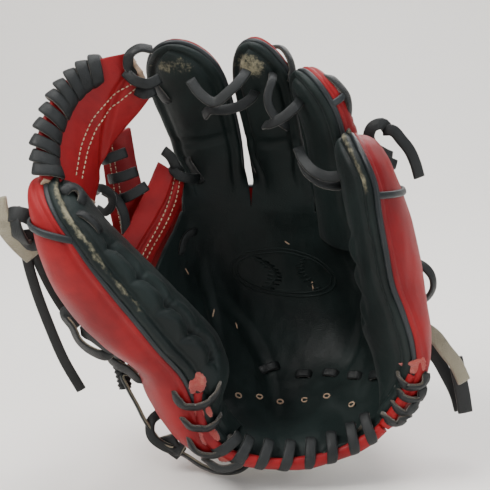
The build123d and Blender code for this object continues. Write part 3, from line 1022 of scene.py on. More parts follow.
def web_bar_grid(rows=110, columns=36):
    """The swollen, creased surface of the web's top bar."""
    grid, across = between(rail(web_outer, rows), rail(web_inner, rows), columns)
    outward = np.zeros_like(grid) + np.array([0.35, -0.9, 0.1])
    along = np.linspace(0, 1, rows)[:, None]
    belly = 3.2 * np.sin(math.pi * across) + 1.8 * hump(0.85, 0.4, across) * hump(0.62, 0.2, along)
    crease = -2.6 * hump(0.0, 0.10, across - 1.25 + along * 0.9)
    soft = wrinkle(grid, 24)
    return push(grid, outward, belly + crease + soft), outward


def web_stitching(name, grid, outward, places, start=0.02, end=0.98):
    """Rows of thread along a web piece, at shares of its width."""
    n = normals_of(grid, outward)
    parts = []
    for place in places:
        k = place * (grid.shape[1] - 1)
        low, f = int(k), k - int(k)
        line = grid[:, low] * (1 - f) + grid[:, low + 1] * f + n[:, low] * 0.15
        parts += stitches_along(line, n[:, low], start=start, end=end)
    web_piece(join_meshes(name, parts, [thread]))


def stitches_along(line, facing, length=2.0, gap=1.1, start=0.0, end=1.0, radius=0.42):
    """Thread stitches along a line, each one dipping into the leather at both ends."""
    run = distance_along(line)
    parts, place = [], run[-1] * start
    while place + length < run[-1] * end:
        spots = place + length * np.array([0.0, 0.25, 0.75, 1.0])
        dip = np.array([-0.25, 0.12, 0.12, -0.25])[:, None]
        path = read_at(spots, run, line) + read_at(spots, run, facing) * dip
        parts.append(tube_part(path, [radius * 0.6, radius, radius, radius * 0.6], 6))
        place += length + gap
    return parts


def web_piece(piece, *nodes):
    """A piece of the web: hides the CAD nodes it stands for and fixes the piece in place."""
    settle(piece, None, None, *nodes)
    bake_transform(piece)


def wrap_path(edge, inward, facing, along, slant=3.0, depth=12.0, half=3.4):
    """A turn of lace over an edge: (points, facings), from a hole behind to a hole in front."""
    steps = [(depth - 2, -half + 1.2, -1.0, -1), (depth * 0.45, -half - 0.8, -0.6, -1),
             (-1.2, -half * 0.75, -0.25, -0.6), (-2.6, 0, 0, 0), (-1.2, half * 0.8, 0.3, 0.6),
             (depth * 0.35, half + 1.0, 0.62, 1), (depth * 0.78, half + 0.7, 0.9, 1),
             (depth, half - 0.6, 1.0, 1), (depth + 0.8, half - 2.8, 1.05, 1)]
    points = [edge + inward * d + facing * h + along * slant * s for d, h, s, _ in steps]
    facings = [unit(facing * f - inward * (1.05 - abs(f))) for *_, f in steps]
    return curve(points, 26), facings


def wrap_parts(rails, facing, places, width=6.2, slant=3.0, depth=12.0, half=3.4, tilt=0.0):
    """Turns of lace round the edge given by rails (edge, inner) at the given shares of its length."""
    edge, inner = rails
    t = tangents(edge)
    parts = []
    for share in places:
        k = int(share * (len(edge) - 1))
        along = t[k]
        out = unit(facing[k] - along * np.dot(facing[k], along))
        inward = unit(np.cross(along, out))
        if np.dot(inward, inner[k] - edge[k]) < 0:
            inward = -inward
        path, facings = wrap_path(edge[k], inward, out, along, slant, depth, half)
        facings = [unit(spot + along * tilt) for spot in facings]
        parts.append(ribbon_part(path, facings, width, 2.9, wear=0.25))
    return parts


def web_leather(name, grid, outward, thickness, wear=None):
    """A red leather of the web."""
    piece = shell_piece(f"{name}_leather", grid, outward, red_leather, thickness, wear)
    web_piece(piece, name)


def make_web_top():
    """The wide red bar along the top of the web, with raw ends and a lace wrapped round its edge."""
    grid, outward = web_bar_grid()
    share = np.linspace(0, 1, grid.shape[1])[None]
    wear = 0.20 * hump(1.0, 0.12, share) + 0.14 + np.zeros(grid.shape[:2])
    web_leather("web_top_bar", grid, outward, WEB_LEATHER, wear)
    n = normals_of(grid, outward)
    ends = []
    for row, beside in ((0, 1), (-1, -2)):
        out = unit(grid[row] - grid[beside])
        ends.append(ribbon_part(grid[row] - n[row] * 1.0 + out * 0.7, unit(n[row] + out), 4.4, 1.4, 0.2))
    web_piece(join_meshes("web_raw_edges", ends, [raw_tan, raw_tan]))
    web_stitching("web_stitching", grid, outward, (0.55, 0.66), 0.12, 0.97)
    places = [0.10 + 0.081 * k for k in range(10)]
    wraps = wrap_parts((grid[:, 0] - n[:, 0] * 1.7, grid[:, 12]), n[:, 2], places, 7.6, -4.0, tilt=0.14)
    web_piece(lace_mesh("web_wraps", wraps), "web_wrap_lace")


def make_web():
    """The web: its top bar, the single post behind it and the folded bar at its foot."""
    make_web_top()
    post = rail([(-82, 11, 208), (-80, 12, 190), (-78, 12, 170), (-74, 12, 148), (-70, 12, 134)], 60)
    far = rail([(-63, 15, 214), (-60, 20, 190), (-56, 22, 170), (-54, 22, 148), (-52, 22, 134)], 60)
    grid, across = between(post, far, 26)
    outward = np.zeros_like(grid) + np.array([0.2, -1, 0])
    grid = push(grid, outward, 2.0 * np.sin(math.pi * across) + wrinkle(grid, 18) * 0.9)
    web_leather("web_post", grid, outward, 3.0)
    web_stitching("web_post_stitching", grid, outward, (0.2, 0.34))

    left = rail([(-47, 22, 192), (-53, 16, 178), (-62, 6, 160), (-72, -2, 140), (-76, -4, 126)], 70)
    right = rail([(-31, 28, 178), (-34, 26, 162), (-42, 20, 146), (-52, 12, 128), (-56, 8, 116)], 70)
    grid, across = between(left, right, 34)
    outward = np.zeros_like(grid) + np.array([0.3, -0.95, 0.1])
    rolled = 4.0 * np.sin(math.pi * across) ** 0.7
    fold_line = -2.2 * hump(0.52, 0.10, across + np.linspace(-0.1, 0.1, 70)[:, None])
    grid = push(grid, outward, rolled + fold_line + wrinkle(grid, 20))
    wear = 0.24 + 0.2 * hump(0.5, 0.3, across) + np.zeros(grid.shape[:2])
    web_leather("web_bottom_bar", grid, outward, WEB_LEATHER, wear)
    web_stitching("web_bottom_stitching", grid, outward, (0.62, 0.78))


def lace_mesh(name, parts, body=None, *nodes):
    """Some turns of lace as one piece, on a body and in place of some CAD nodes."""
    return settle(join_meshes(name, parts, [lace_grain, lace_suede]), "lace", body, *nodes)


def lace(points, facing=(0, -1, 0), width=LACE[0], thick=LACE[1], wear=0.2):
    """A flat lace through the given places."""
    return ribbon_part(curve(points, point_count(points, 1.6, 8)), facing, width, thick, wear)


def point_count(places, step, least):
    """How many points about step apart fit on straight lines through some places."""
    return max(int(sum(math.dist(a, b) for a, b in zip(places, places[1:])) / step), least)


def laces(turns):
    """Flat laces from rows of what lace() takes: places, facing, width and thickness."""
    return [lace(*turn) for turn in turns]


def make_web_laces():
    bars = [([(-80, 6, 195), (-77, 3, 196), (-71, 3, 198), (-65, 6, 200)],),
            ([(-76, 8, 183), (-72, 4, 184), (-65, 4, 186), (-59, 8, 188)],),
            ([(-69, 8, 171), (-66, 4, 172), (-60, 4, 175), (-53, 8, 179)],),
            ([(-84, 4, 176), (-80, -2, 179), (-75, -1, 176), (-74, 2, 168), (-79, 3, 163),
              (-84, 5, 165)], (-0.2, -1, 0.2), 5.5),
            ([(-79, 6, 176), (-72, 3, 172), (-67, 2, 163), (-66, 4, 150)], (0.6, -0.8, 0.2))]
    web_piece(lace_mesh("web_post_laces", laces(bars)), "web_post_lace")
    ties = [([(-58, -2, 247), (-61, -6, 253), (-60, -7, 259), (-54, -7, 263), (-47, -4, 262)],
             (0, -0.7, 0.7)),
            ([(-63, -5, 249), (-57, -8, 244), (-50, -6, 242), (-43, -1, 245)],),
            ([(-57, -1, 238), (-52, -4, 236), (-46, -1, 238)],),
            ([(-43, 22, 199), (-39, 19, 196), (-36, 20, 190), (-34, 26, 184)],),
            ([(-39, 22, 189), (-34, 20, 184), (-27, 24, 181), (-22, 32, 180)],)]
    web_piece(lace_mesh("web_index_laces", laces(ties)), "web_index_lace")


# ------------------------------------------------------------------ heel edge

heel_edge = [(-20, -49, 66), (-19, -48, 52), (-15, -47, 38), (-3, -46, 25), (20, -44, 18), (45, -42, 17.5),
             (69, -40, 24), (88, -40, 36), (100, -42, 54), (107, -47, 76)]
heel_inner = [(0, -36, 66), (0, -36, 56), (4, -34, 44), (12, -28, 34), (26, -26, 27), (45, -24, 26),
              (64, -24, 30), (78, -26, 40), (86, -30, 56), (92, -38, 78)]


RIM_ROWS = 300


def rim_piece(name, start, end, body, node):
    """The rolled red edge of the heel: a fat soft roll, a little flattened."""
    shown = slice(int(start * (RIM_ROWS - 1)), int(end * (RIM_ROWS - 1)) + 1)
    edge, inner = rail(heel_edge, RIM_ROWS)[shown], rail(heel_inner, RIM_ROWS)[shown]
    swell = 4.3 + 0.35 * np.sin(np.linspace(0, 40 * (end - start), len(edge)))
    roll = tube_part(edge, swell, 16, wear=0.18, squash=0.8, facing=unit(edge - inner))
    settle(join_meshes(name, [roll], [red_leather]), "red_leather", body, node)


def rim_wraps(name, places, body, node, slant, depth, half=4.8):
    """Whip laces: turns of lace round the rolled edge at the given shares of its length."""
    edge, inner = rail(heel_edge, RIM_ROWS), rail(heel_inner, RIM_ROWS)
    t = tangents(edge)
    facing = unit(np.cross(t, inner - edge))
    facing = np.where(facing[:, 1:2] > 0, -facing, facing)
    facing = unit(facing + np.array([0, -0.4, 0]))
    lace_mesh(name, wrap_parts((edge, inner), facing, places, 6.6, slant, depth, half), body, node)


def make_heel(thumb_parts, little_parts):
    """The rolled red edge round the heel with its whip laces, and the torn leather at both ends."""
    rim_piece("heel_rolled_edge", 0.20, 0.80, "root", "heel_binding")
    rim_piece("thumb_rolled_edge", 0.0, 0.19, "thumb", "thumb_edge_binding")
    rim_piece("little_rolled_edge", 0.81, 1.0, "little", "little_edge_binding")
    rim_wraps("heel_whip_lace", [0.30, 0.365, 0.43, 0.495, 0.56, 0.625, 0.69, 0.75], "root",
              "heel_lace", 4.6, 12.5)
    crescents = [[(-35, -50, 66), (-30, -50, 59), (-20, -50, 57), (-10, -50, 64), (-6, -50, 72)],
                 [(-30, -50, 49), (-22, -50, 44), (-13, -50, 44), (-6, -50, 52)],
                 [(-27, -48, 36), (-19, -48, 28), (-9, -48, 26), (0, -48, 37)],
                 [(-16, -46, 21), (-7, -46, 15), (4, -46, 18), (10, -46, 30)]]
    side_laces("thumb_whip_lace", crescents, thumb_parts, "thumb", "thumb_edge_lace")
    coils = [[(90, -46, 50), (97, -46, 45), (105, -46, 49)],
             [(95, -46, 58), (101, -46, 52), (108, -46, 54), (112, -44, 60)],
             [(97, -48, 68), (104, -48, 61), (111, -48, 63), (114, -44, 69)],
             [(97, -50, 77), (104, -50, 69), (111, -50, 71), (115, -44, 78)]]
    side_laces("little_whip_lace", coils, little_parts, "little", "little_edge_lace")
    torn = [[(-25, -50, 64), (-24, -50, 72), (-19, -50, 78), (-15, -50, 74), (-17, -50, 66)],
            [(-23, -50, 56), (-14, -50, 57), (-12, -50, 50), (-20, -50, 49)],
            [(-20, -48, 41), (-11, -48, 42), (-7, -48, 35), (-16, -48, 32)],
            [(-10, -46, 29), (0, -46, 28), (3, -46, 22), (-7, -46, 20)]]
    torn_leather("thumb_torn_leather", torn, thumb_parts, "thumb")
    torn = [[(98, -50, 83), (105, -50, 77), (113, -48, 79), (112, -48, 86), (104, -50, 84)]]
    torn_leather("little_torn_leather", torn, little_parts, "little")
    pocket_lacing()
    eyelets()


def side_laces(name, places, parts, body, node):
    """Turns of lace over the side of the heel, where the shown side of each turn faces down."""
    tree = surface_tree(*parts)
    lace_mesh(name, [lace_on(tree, path, 2.4, 5.6, 3.0, 5.0, 0.3, (0, 0, -0.9)) for path in places],
              body, node)


def torn_leather(name, outlines, parts, body):
    """Scraps of torn leather that lie on a surface, with their raw red side out."""
    tree = surface_tree(*parts)
    scraps = []
    for outline in outlines:
        points, facings = onto(tree, outline, 0.6)
        scraps.append(flap_part(points, facings.mean(axis=0), 1.7))
    settle(join_meshes(name, scraps, [raw_red]), "red_leather", body)


def make_surface_details(palm, thumb_front):
    """Short laces that cross the leather between two slots, and scratches down to the raw leather."""
    tree = surface_tree(palm)
    arcs = [([(-34, 30, 129), (-32, 30, 140), (-28, 30, 145), (-22, 30, 145)], 5.6),
            ([(-50, 8, 246), (-44, 8, 238), (-38, 8, 229)], 6.2),
            ([(-30, 34, 194), (-25, 34, 186), (-20, 34, 176)], 6.2)]
    lace_mesh("palm_slot_laces", [lace_on(tree, path, 0.9, width) for path, width in arcs], "root")
    marks = [[(-12, 20, 96), (-13, 20, 91)], [(2, 20, 87), (3, 20, 83)], [(34, 30, 139), (37, 30, 137)],
             [(-31, 30, 121), (-29, 30, 117)], [(52, 30, 112), (53, 30, 106)], [(-8, 20, 66), (-6, 20, 62)]]
    scratches = [lace_on(tree, path, 0.1, 0.9, 0.5, 0.3) for path in marks]
    settle(join_meshes("palm_scratches", scratches, [raw_tan, raw_tan]), None, "root")
    tree = surface_tree(thumb_front)
    ties = [lace_on(tree, [(-88, -44, 172), (-81, -44, 167), (-74, -44, 159)], 0.8, 5.4),
            lace_on(tree, [(-97, -38, 181), (-93, -38, 184), (-88, -38, 181), (-86, -38, 175)],
                    2.6, 6.0, 3.2)]
    lace_mesh("thumb_slot_lace", ties, "thumb")


def surface_point(z, a, lift=0.0):
    """A place on the shown pocket surface, lifted towards the inside."""
    z, a = np.atleast_1d(np.asarray(z, float)), np.atleast_1d(np.asarray(a, float))
    step = np.array([-0.5, 0.0, 0.5])
    grid = bowl(z[:, None, None] + step[None, :, None], a[:, None, None] + step[None, None, :])
    points, facings = [], []
    for patch in grid:
        points.append(patch[1, 1])
        facings.append(normals_of(patch, INSIDE - patch)[1, 1])
    points, facings = np.array(points), np.array(facings)
    height = palm_heights(points[None], z[None], a[None])[0]
    return points + facings * (height + lift)[:, None], facings


def pocket_lacing():
    """The lace that runs in and out of the palm above the heel pads."""
    parts = []
    for start, end, low, high in ((-16, -4, 50, 52), (4, 14, 47, 47), (22, 33, 48, 49), (41, 50, 50, 53),
                                  (57, 66, 55, 60)):
        a = np.linspace(start, end, 14)
        z = np.linspace(low, high, 14)
        lift = 1.9 - 4.2 * np.abs(np.linspace(-1, 1, 14)) ** 5
        points, facings = surface_point(z, a, lift)
        parts.append(ribbon_part(points, facings, 5.8, 2.4, 0.25))
    lace_mesh("pocket_laces", parts, "root", "pocket_lace")


def eyelets():
    """Six small pierced holes in the heel leather, each with a worn tan rim."""
    parts = []
    for x in (2, 17, 31, 47, 62, 77):
        z = 36.5 + 0.0016 * (x - 40) ** 2
        centre, facing = surface_point(z, angle_at(x, z), 0.3)
        n, c = facing[0], centre[0]
        side = unit(np.cross(n, (0, 0, 1)))
        other = np.cross(n, side)
        angles = np.linspace(0, 2 * math.pi, 18, endpoint=False)[:, None]
        ring = c + (side * np.cos(angles) + other * np.sin(angles)) * 1.9
        parts.append(tube_part(ring, 0.55, 8, closed=True, facing=n))
    settle(join_meshes("heel_eyelet_rims", parts, [raw_tan]), None, "root")


def pocket_mark():
    """A generic mark pressed into the pocket: an oval frame with a ball's two curved seams."""
    high, angle, tall_seam = 112, 8, 12.5
    t = np.linspace(0, 2 * math.pi, 90)
    lines = [(high + tall * np.sin(t), angle + wide * np.cos(t)) for wide, tall in ((24, 17), (21.5, 14.5))]
    sweep = np.linspace(-1, 1, 40)
    for side in (-1, 1):
        lines.append((high + tall_seam * sweep, angle + side * (6.0 + 6.5 * sweep**2)))
        for k in np.linspace(-0.85, 0.85, 9):
            z = high + tall_seam * k + np.array([-1.2, 1.2])
            lines.append((z, angle + side * (6.0 + 6.5 * k**2) + side * np.array([-2.2, 2.2])))
    parts = []
    for z, a in lines:
        points, facings = surface_point(z, a, 0.15)
        parts.append(tube_part(points, 0.62, 8, squash=0.5, facing=facings))
    settle(join_meshes("pocket_mark", parts, [black_leather]), "black_leather", "root")


# ------------------------------------------------------------------ laces between and beside fingers


def make_finger_laces():
    """The laces that tie neighbouring fingers together near their tips."""
    up = (0, -0.9, 0.4)
    turns = [([(-25, 3, 244), (-19, 0, 236), (-11, -2, 231), (-2, -3, 237), (6, 0, 245), (9, 6, 249)], up),
             ([(-17, 12, 222), (-13, 6, 226), (-5, 4, 226), (4, 4, 228), (12, 8, 233), (14, 14, 236)], up)]
    lace_mesh("index_middle_laces", laces(turns), "root", "index_middle_lace")
    turns = [([(25, 8, 247), (24, -3, 243), (22, -5, 237), (22, -6, 230), (25, -7, 224), (30, -7, 219),
               (34, -2, 216)], (0.2, -0.9, 0.3), 5.2),
             ([(20, 2, 217), (24, -7, 219), (31, -10, 223), (38, -9, 229), (41, -2, 232)], up),
             ([(24, 24, 263), (30, 21, 263), (35, 18, 257), (37, 16, 249), (36, 14, 242)],
              (0.6, -0.3, 0.7))]
    piece = lace_mesh("middle_ring_laces", laces(turns), None, "middle_ring_lace")
    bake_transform(piece)
    turns = [([(40, -8, 204), (43, -22, 198), (48, -28, 193), (56, -30, 190), (65, -30, 191),
               (70, -24, 192)], up),
             ([(42, -10, 196), (46, -22, 190), (54, -26, 185), (63, -26, 184), (69, -20, 186)],
              (0, -0.8, 0.6), 5.6)]
    piece = lace_mesh("ring_little_laces", laces(turns), None, "ring_little_lace")
    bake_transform(piece)
    loop = ([(52, 2, 245), (58, -4, 246), (64, -6, 241), (69, -6, 234), (70, -4, 225), (66, -4, 216)],
            (0.7, -0.5, 0.5))
    lace_mesh("ring_outer_lace", laces([loop]), "ring")


def make_thumb_side_laces(tree):
    """The knot, the broad suede end and the laces on the side of the thumb."""
    near = (0.95, 0.95)
    broad = anchored(tree, [(-146, 7, 171), (-144, 4, 162), (-139, 3, 152), (-132, 5, 142), (-125, 8, 134)],
                     near, (False, False))
    settle(join_meshes("thumb_side_suede_lace", [lace(broad, (-0.3, -0.9, 0.1), 12.5, 3.4)],
                       [tan_suede, raw_tan]), "lace", "thumb")
    turns = [([(-140, 6, 160), (-134, -1, 163), (-127, -2, 162), (-121, 2, 158)], (-0.1, -0.9, 0.4), 9),
             ([(-134, 6, 164), (-133, -3, 157), (-130, -4, 149), (-126, 2, 143)], (-0.5, -0.9, 0), 8),
             ([(-138, 5, 152), (-131, -3, 150), (-124, 0, 150), (-118, 6, 150)], (0, -1, -0.2), 6.5)]
    knot = [lace(anchored(tree, path, near, (False, True)), facing, width) for path, facing, width in turns]
    lace_mesh("thumb_side_knot", knot, "thumb")
    turns = [([(-70, -4, 60), (-66, -6, 51), (-61, -6, 41), (-56, -6, 30), (-51, -6, 22), (-45, -8, 15),
               (-36, -10, 11)], 0.985, (-0.9, -0.3, -0.2), 7.5),
             ([(-106, 0, 98), (-101, 0, 90), (-97, 0, 81), (-89, -2, 75), (-80, -4, 73)], 0.965,
              (-0.7, -0.6, -0.3), 8),
             ([(-90, -22, 94), (-84, -27, 92), (-78, -29, 88), (-71, -28, 83), (-67, -24, 78)], 1,
              (-0.5, -0.8, -0.2), 7.5),
             ([(-75, -18, 76), (-70, -23, 73), (-63, -25, 70), (-56, -24, 64)], 1, (-0.5, -0.8, -0.3), 7)]
    under = [lace(anchored(tree, path, (depth, depth)), facing, width)
             for path, depth, facing, width in turns]
    under += laces([
        ([(-44, -10, 38), (-51, -15, 33), (-51, -18, 25), (-43, -19, 18), (-34, -18, 14)],
         (-0.4, -0.9, 0.1), 6.5),
        ([(-41, -16, 24), (-38, -17, 17), (-32, -17, 12)], (-0.2, -1, -0.2), 11, 3),
        ([(-40, -14, 15), (-29, -18, 11), (-18, -21, 5), (-8, -22, 2), (4, -22, 3), (12, -20, 8)],
         (-0.1, -0.6, -0.8), 7)])
    settle(join_meshes("thumb_side_laces", under, [lace_grain, tan_suede]), "lace", "thumb",
           "thumb_side_lace")
    ribs = ribbed_end(anchored(tree, [(-76, 6, 76), (-74, 4, 70), (-72, 4, 62), (-70, 4, 54), (-69, 4, 48)],
                               (0.975, 0.975), (True, False)))
    settle(join_meshes("thumb_side_cut_lace", [ribs], [lace_grain, lace_suede]), "lace", "thumb")


def make_tails(thumb_parts):
    """Loose lace ends and knots; each one starts in the leather of the piece it moves with."""
    tree = surface_tree(*thumb_parts)
    make_thumb_side_laces(tree)
    turns = [([(-131, 7, 150), (-129, 6, 134), (-124, 6, 112), (-117, 6, 90), (-108, 6, 66), (-98, 7, 46)],
              (0.25, -0.95, 0), 6.4),
             ([(-128, 10, 146), (-122, 10, 128), (-115, 10, 112), (-107, 10, 98), (-99, 10, 88)],
              (0.3, -0.9, 0), 6.0)]
    tails = [lace(anchored(tree, path, (0.95, 1.0), (False, False)), facing, width)
             for path, facing, width in turns]
    lace_mesh("thumb_long_tail", tails, "thumb_tail", "thumb_tail")
    knots = [([(98, 8, 197), (92, 3, 200), (86, 1, 204), (83, 0, 210), (85, 0, 216), (91, 0, 218),
               (95, 3, 214)], (-0.25, -0.9, 0.35), 7.2),
             ([(84, 6, 205), (90, 5, 200), (95, 5, 195), (101, 8, 192)], (0, -1, 0.3)),
             ([(113, 0, 133), (119, -3, 130), (124, -3, 124), (125, -3, 116), (121, -2, 109),
               (115, 0, 106)], (0.8, -0.6, 0), 6.5)]
    lace_mesh("little_knots", laces(knots), "little", "little_side_knots")
    tip = ([(92, 2, 214), (97, 0, 214), (103, 0, 208), (108, 1, 202), (112, 2, 194), (115, 3, 185)],
           (0.25, -1, 0.1), 7.2, 2.8)
    lace_mesh("tip_tail_lace", laces([tip]), "tip_tail", "tip_tail")
    tan = ([(114, -8, 94), (119, -10, 92), (126, -10, 87), (133, -10, 78), (140, -9, 69), (146, -8, 57)],
           (0.3, -0.95, 0), 9.0, 2.8)
    settle(join_meshes("heel_side_tail", laces([tan]), [tan_suede, raw_tan]), "lace", "heel_tail",
           "heel_tail")
    dark = [([(140, -7, 72), (143, -7, 60), (146, -7, 47), (148, -7, 36)], (0.1, -1, 0), 9.5, 2.6),
            ([(114, -1, 86), (120, -1, 80), (128, 0, 72), (136, 0, 59), (143, 0, 45), (146, 0, 35)],
             (0.3, -1, 0), 8.0)]
    lace_mesh("heel_side_tail_end", laces(dark), "heel_tail")


def ribbed_end(points):
    """A cut lace end that shows its twisted, ribbed side."""
    path = curve(points, 60)
    radius = 4.2 + 0.45 * np.sin(np.linspace(0, 2 * math.pi * 11, 60))
    return tube_part(path, radius, 14, wear=0.25, squash=0.6, facing=(0, -1, 0))


# ------------------------------------------------------------------ back of the hand


def behind_hand(z, a, lift, clearance=(30.0, 38.0, 13.0)):
    """Places behind the hand, and the direction away from it: the bowl moved out by a clearance."""
    left, right, rim, deep = level_values(z)
    side = np.sign(a) * np.abs(np.sin(np.radians(a))) ** (2 / BOWL_POWER)
    reach = (right - left) / 2 + np.where(a > 0, clearance[2], clearance[0]) + lift
    x = (left + right) / 2 + side * reach
    y = rim + np.abs(np.cos(np.radians(a))) ** (2 / BOWL_POWER) * (deep - rim + clearance[1] + lift)
    grid = np.stack([x, y, z], axis=-1)
    return grid, grid - np.stack([(left + right) / 2, rim, z], axis=-1)


def rear_seam(limb, z):
    """The place on a limb's rear seam at each height."""
    p = rail(limb.rails["rear"], 160)
    return np.stack([np.interp(z, p[:, 2], p[:, 0]), np.interp(z, p[:, 2], p[:, 1]), z], axis=-1)


def hand_panel(rows=70, columns=180):
    """The hand-back panel, drawn down at its ends onto the thumb and the little finger."""
    a = np.linspace(-80, 76, columns)[None] * np.ones((rows, 1))
    top = np.interp(a, [-80, -46, -32, 38, 60, 76], [112, 140, 166, 166, 158, 134])
    bottom = np.interp(a, [-80, -46, -38, 44, 52, 76], [84, 104, 114, 114, 106, 86])
    z = bottom + (top - bottom) * np.linspace(0, 1, rows)[:, None]
    grid, outward = behind_hand(z, a, 2.6)
    to_thumb = smoothstep(-30, -78, a)[..., None]
    to_little = smoothstep(50, 76, a)[..., None]
    grid = grid * (1 - to_thumb) + (rear_seam(thumb, z) + np.array([-1.5, 1.5, 0])) * to_thumb
    grid = grid * (1 - to_little) + (rear_seam(little, z) + np.array([2.5, 0.5, 0])) * to_little
    return grid, outward, a


def back_piece(piece, slot=None, *nodes):
    """A piece of the back of the hand: hides the CAD nodes it stands for and fixes the piece in place."""
    settle(piece, slot, None, *nodes)
    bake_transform(piece)


def back_stitching(name, grid, n, rows, start):
    """Rows of thread along some rows of a grid."""
    parts = []
    for row in rows:
        parts += stitches_along(grid[row] + n[row] * 0.2, n[row], start=start, end=1 - start)
    back_piece(join_meshes(name, parts, [thread]))


def edge_roll(name, line, radius, *nodes):
    """A rolled binding along an edge."""
    cord = tube_part(curve_even(line, 1.5), radius, 12, wear=0.25)
    back_piece(join_meshes(name, [cord], [welt_leather]), "black_piping", *nodes)


def make_strap():
    """The wrist strap, bound at both edges and stitched round its padding."""
    t = np.linspace(0, 1, 120)[None] * np.ones((44, 1))
    share = np.linspace(0, 1, 44)[:, None]
    z = 40 + 46 * share + 0 * t
    grid, outward = behind_hand(z, -54 + (118 - 4 * share) * t, 2.6)
    rise = np.minimum(z - 40, 86 - z)
    height = 1.4 * hump(7, 6, rise) - 0.9 * hump(11.5, 1.6, rise) + 1.5 * smoothstep(12, 18, rise)
    height = height + wrinkle(grid, 26, (1, 1, 0.7)) * 1.1
    grid = push(grid, outward, height)
    strap = shell_piece("wrist_strap_leather", grid, outward, red_leather, PALM_LEATHER,
                        0.12 * hump(2, 5, rise) + 0.1)
    back_piece(strap, "red_leather", "wrist_strap")
    n = normals_of(grid, outward)
    back_stitching("wrist_strap_stitching", grid, n, (9, 11, 32, 34), 0.02)
    edge_roll("wrist_strap_lower_roll", grid[0] + n[0] * -0.8, 2.3)
    edge_roll("wrist_strap_upper_roll", grid[-1] + n[-1] * -0.8, 2.3)


def make_back():
    """The wrist strap, the hand-back panel and the bound opening between them."""
    make_strap()
    grid, outward, a = hand_panel()
    share = np.linspace(0, 1, len(grid))[:, None]
    ridges = sum(hump(spot, 2.2, grid[..., 0]) for spot in (-6.0, 34.0))
    height = wrinkle(grid, 28) * 1.2 - 1.3 * ridges * smoothstep(0.15, 0.4, share)
    grid = push(grid, outward, height)
    wear = 0.22 * hump(0, 0.12, share) + 0.16 * hump(1, 0.1, share) + 0.08 + np.zeros(a.shape)
    panel = shell_piece("hand_back_leather", grid, outward, red_leather, PALM_LEATHER, wear)
    back_piece(panel, "red_leather", "hand_back")
    n = normals_of(grid, outward)
    back_stitching("hand_back_stitching", grid, n, (7, 10, 61, 64), 0.03)
    edge_roll("back_opening_roll", grid[0] + n[0] * 0.2, 2.7, "back_opening_binding")
    edge_roll("hand_back_upper_roll", grid[-1] - n[-1] * 0.8, 1.9)
    knots = []
    for row, column in ((56, 34), (56, 148), (14, 20), (14, 162)):
        path = grid[row, column - 6:column + 7] + n[row, column] * 0.2
        arc = np.cos(np.linspace(-1.4, 1.4, 13))
        knots.append(ribbon_part(curve(path + n[row, column] * (arc * 2.6 - 1.4)[:, None], 20),
                                 n[row, column], 6.0, 2.4, 0.25))
    back_piece(lace_mesh("hand_back_laces", knots))


# ------------------------------------------------------------------ inner pieces kept from the CAD

inner_finish = {
    "felt": felt_cloth, "fleece": fleece_cloth, "lining_leather": lining_leather,
    "stiffener": lining_leather, "lace": lace_grain, "red_leather": red_leather,
    "black_leather": black_leather, "black_piping": welt_leather,
}


def finish_inner_pieces():
    """Gives each CAD node that still shows the finish of its material slot."""
    slots = {row["node"]: row["material_slot"] for row in frame["record"]["subparts"]}
    for name, node in frame["nodes"].items():
        if node.hide_render:
            continue
        node.data.materials.clear()
        node.data.materials.append(inner_finish[slots[name]])


# ------------------------------------------------------------------ floor, light and camera


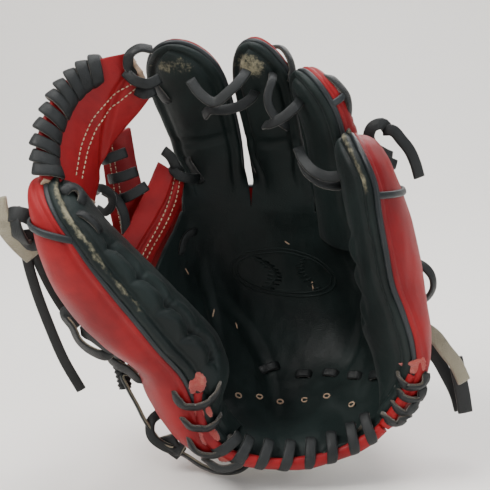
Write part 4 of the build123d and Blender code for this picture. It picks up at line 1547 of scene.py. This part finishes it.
def make_stage():
    """One pale sheet that is the floor and, behind a rounded corner, the wall."""
    floor_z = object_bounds()[0].z - 0.001
    flat, bend, half, top = 1.0, 0.4, 2.5, 2.6
    profile = [(-1.8, 0.0), (flat, 0.0)]
    profile += [(flat + bend * math.sin(t), bend - bend * math.cos(t)) for t in np.radians(range(10, 91, 10))]
    profile += [(flat + bend, top)]
    vertices = [(x, y, z + floor_z) for y, z in profile for x in (-half, half)]
    mesh = bpy.data.meshes.new("backdrop")
    mesh.from_pydata(vertices, [], [(k, k + 1, k + 3, k + 2) for k in range(0, len(vertices) - 2, 2)])
    mesh.polygons.foreach_set("use_smooth", [True] * len(mesh.polygons))
    material, tree, shader = new_material("pale_backdrop")
    fill_inputs(tree, shader, {"Base Color": (0.90, 0.875, 0.84, 1), "Roughness": 0.75})
    mesh.materials.append(material)
    backdrop = bpy.data.objects.new("backdrop", mesh)
    bpy.context.scene.collection.objects.link(backdrop)


def stand(name, data, place, target):
    """Puts a lamp or camera at a place, in metres, and aims it at a target."""
    thing = bpy.data.objects.new(name, data)
    thing.location = place
    thing.rotation_euler = (Vector(target) - thing.location).to_track_quat("-Z", "Y").to_euler()
    bpy.context.scene.collection.objects.link(thing)
    return thing


def make_light_and_camera():
    """Four round lamps and a pale sky, and a camera at the place the glove is looked at from."""
    world = bpy.data.worlds.new("studio")
    bpy.context.scene.world = world
    world.use_nodes = True
    sky = {"Color": (0.95, 0.97, 1.0, 1), "Strength": 0.40}
    fill_inputs(world.node_tree, world.node_tree.nodes["Background"], sky)
    lamps = [("key", (-0.9, -0.6, 1.35), 0.9, 30.0, (1.0, 0.98, 0.95)),
             ("fill", (0.95, -0.8, 0.55), 0.8, 6.0, (0.94, 0.97, 1.0)),
             ("top", (0.15, 0.15, 1.35), 0.9, 16.0, (1, 1, 1)),
             ("back", (0.5, 1.3, 0.9), 0.9, 10.0, (1, 1, 1))]
    for name, place, size, power, color in lamps:
        lamp = bpy.data.lights.new(name, "AREA")
        lamp.shape, lamp.size, lamp.energy, lamp.color = "DISK", size, power, color
        stand(name, lamp, place, (0.0, 0.0, 0.13))
    camera = bpy.data.cameras.new("camera")
    camera.lens, camera.sensor_width = 73.47, 36.0
    bpy.context.scene.camera = stand("camera", camera, at(*EYE), at(8, 0, 143))


palm = make_palm()
make_palm_felt()
make_backs()
make_ring()
thumb_parts = make_thumb()
little_parts = make_little()
make_web()
make_web_laces()
make_heel(thumb_parts, little_parts)
make_surface_details(palm, thumb_parts[1])
pocket_mark()
make_finger_laces()
make_tails(thumb_parts)
make_back()
finish_inner_pieces()
make_stage()
make_light_and_camera()
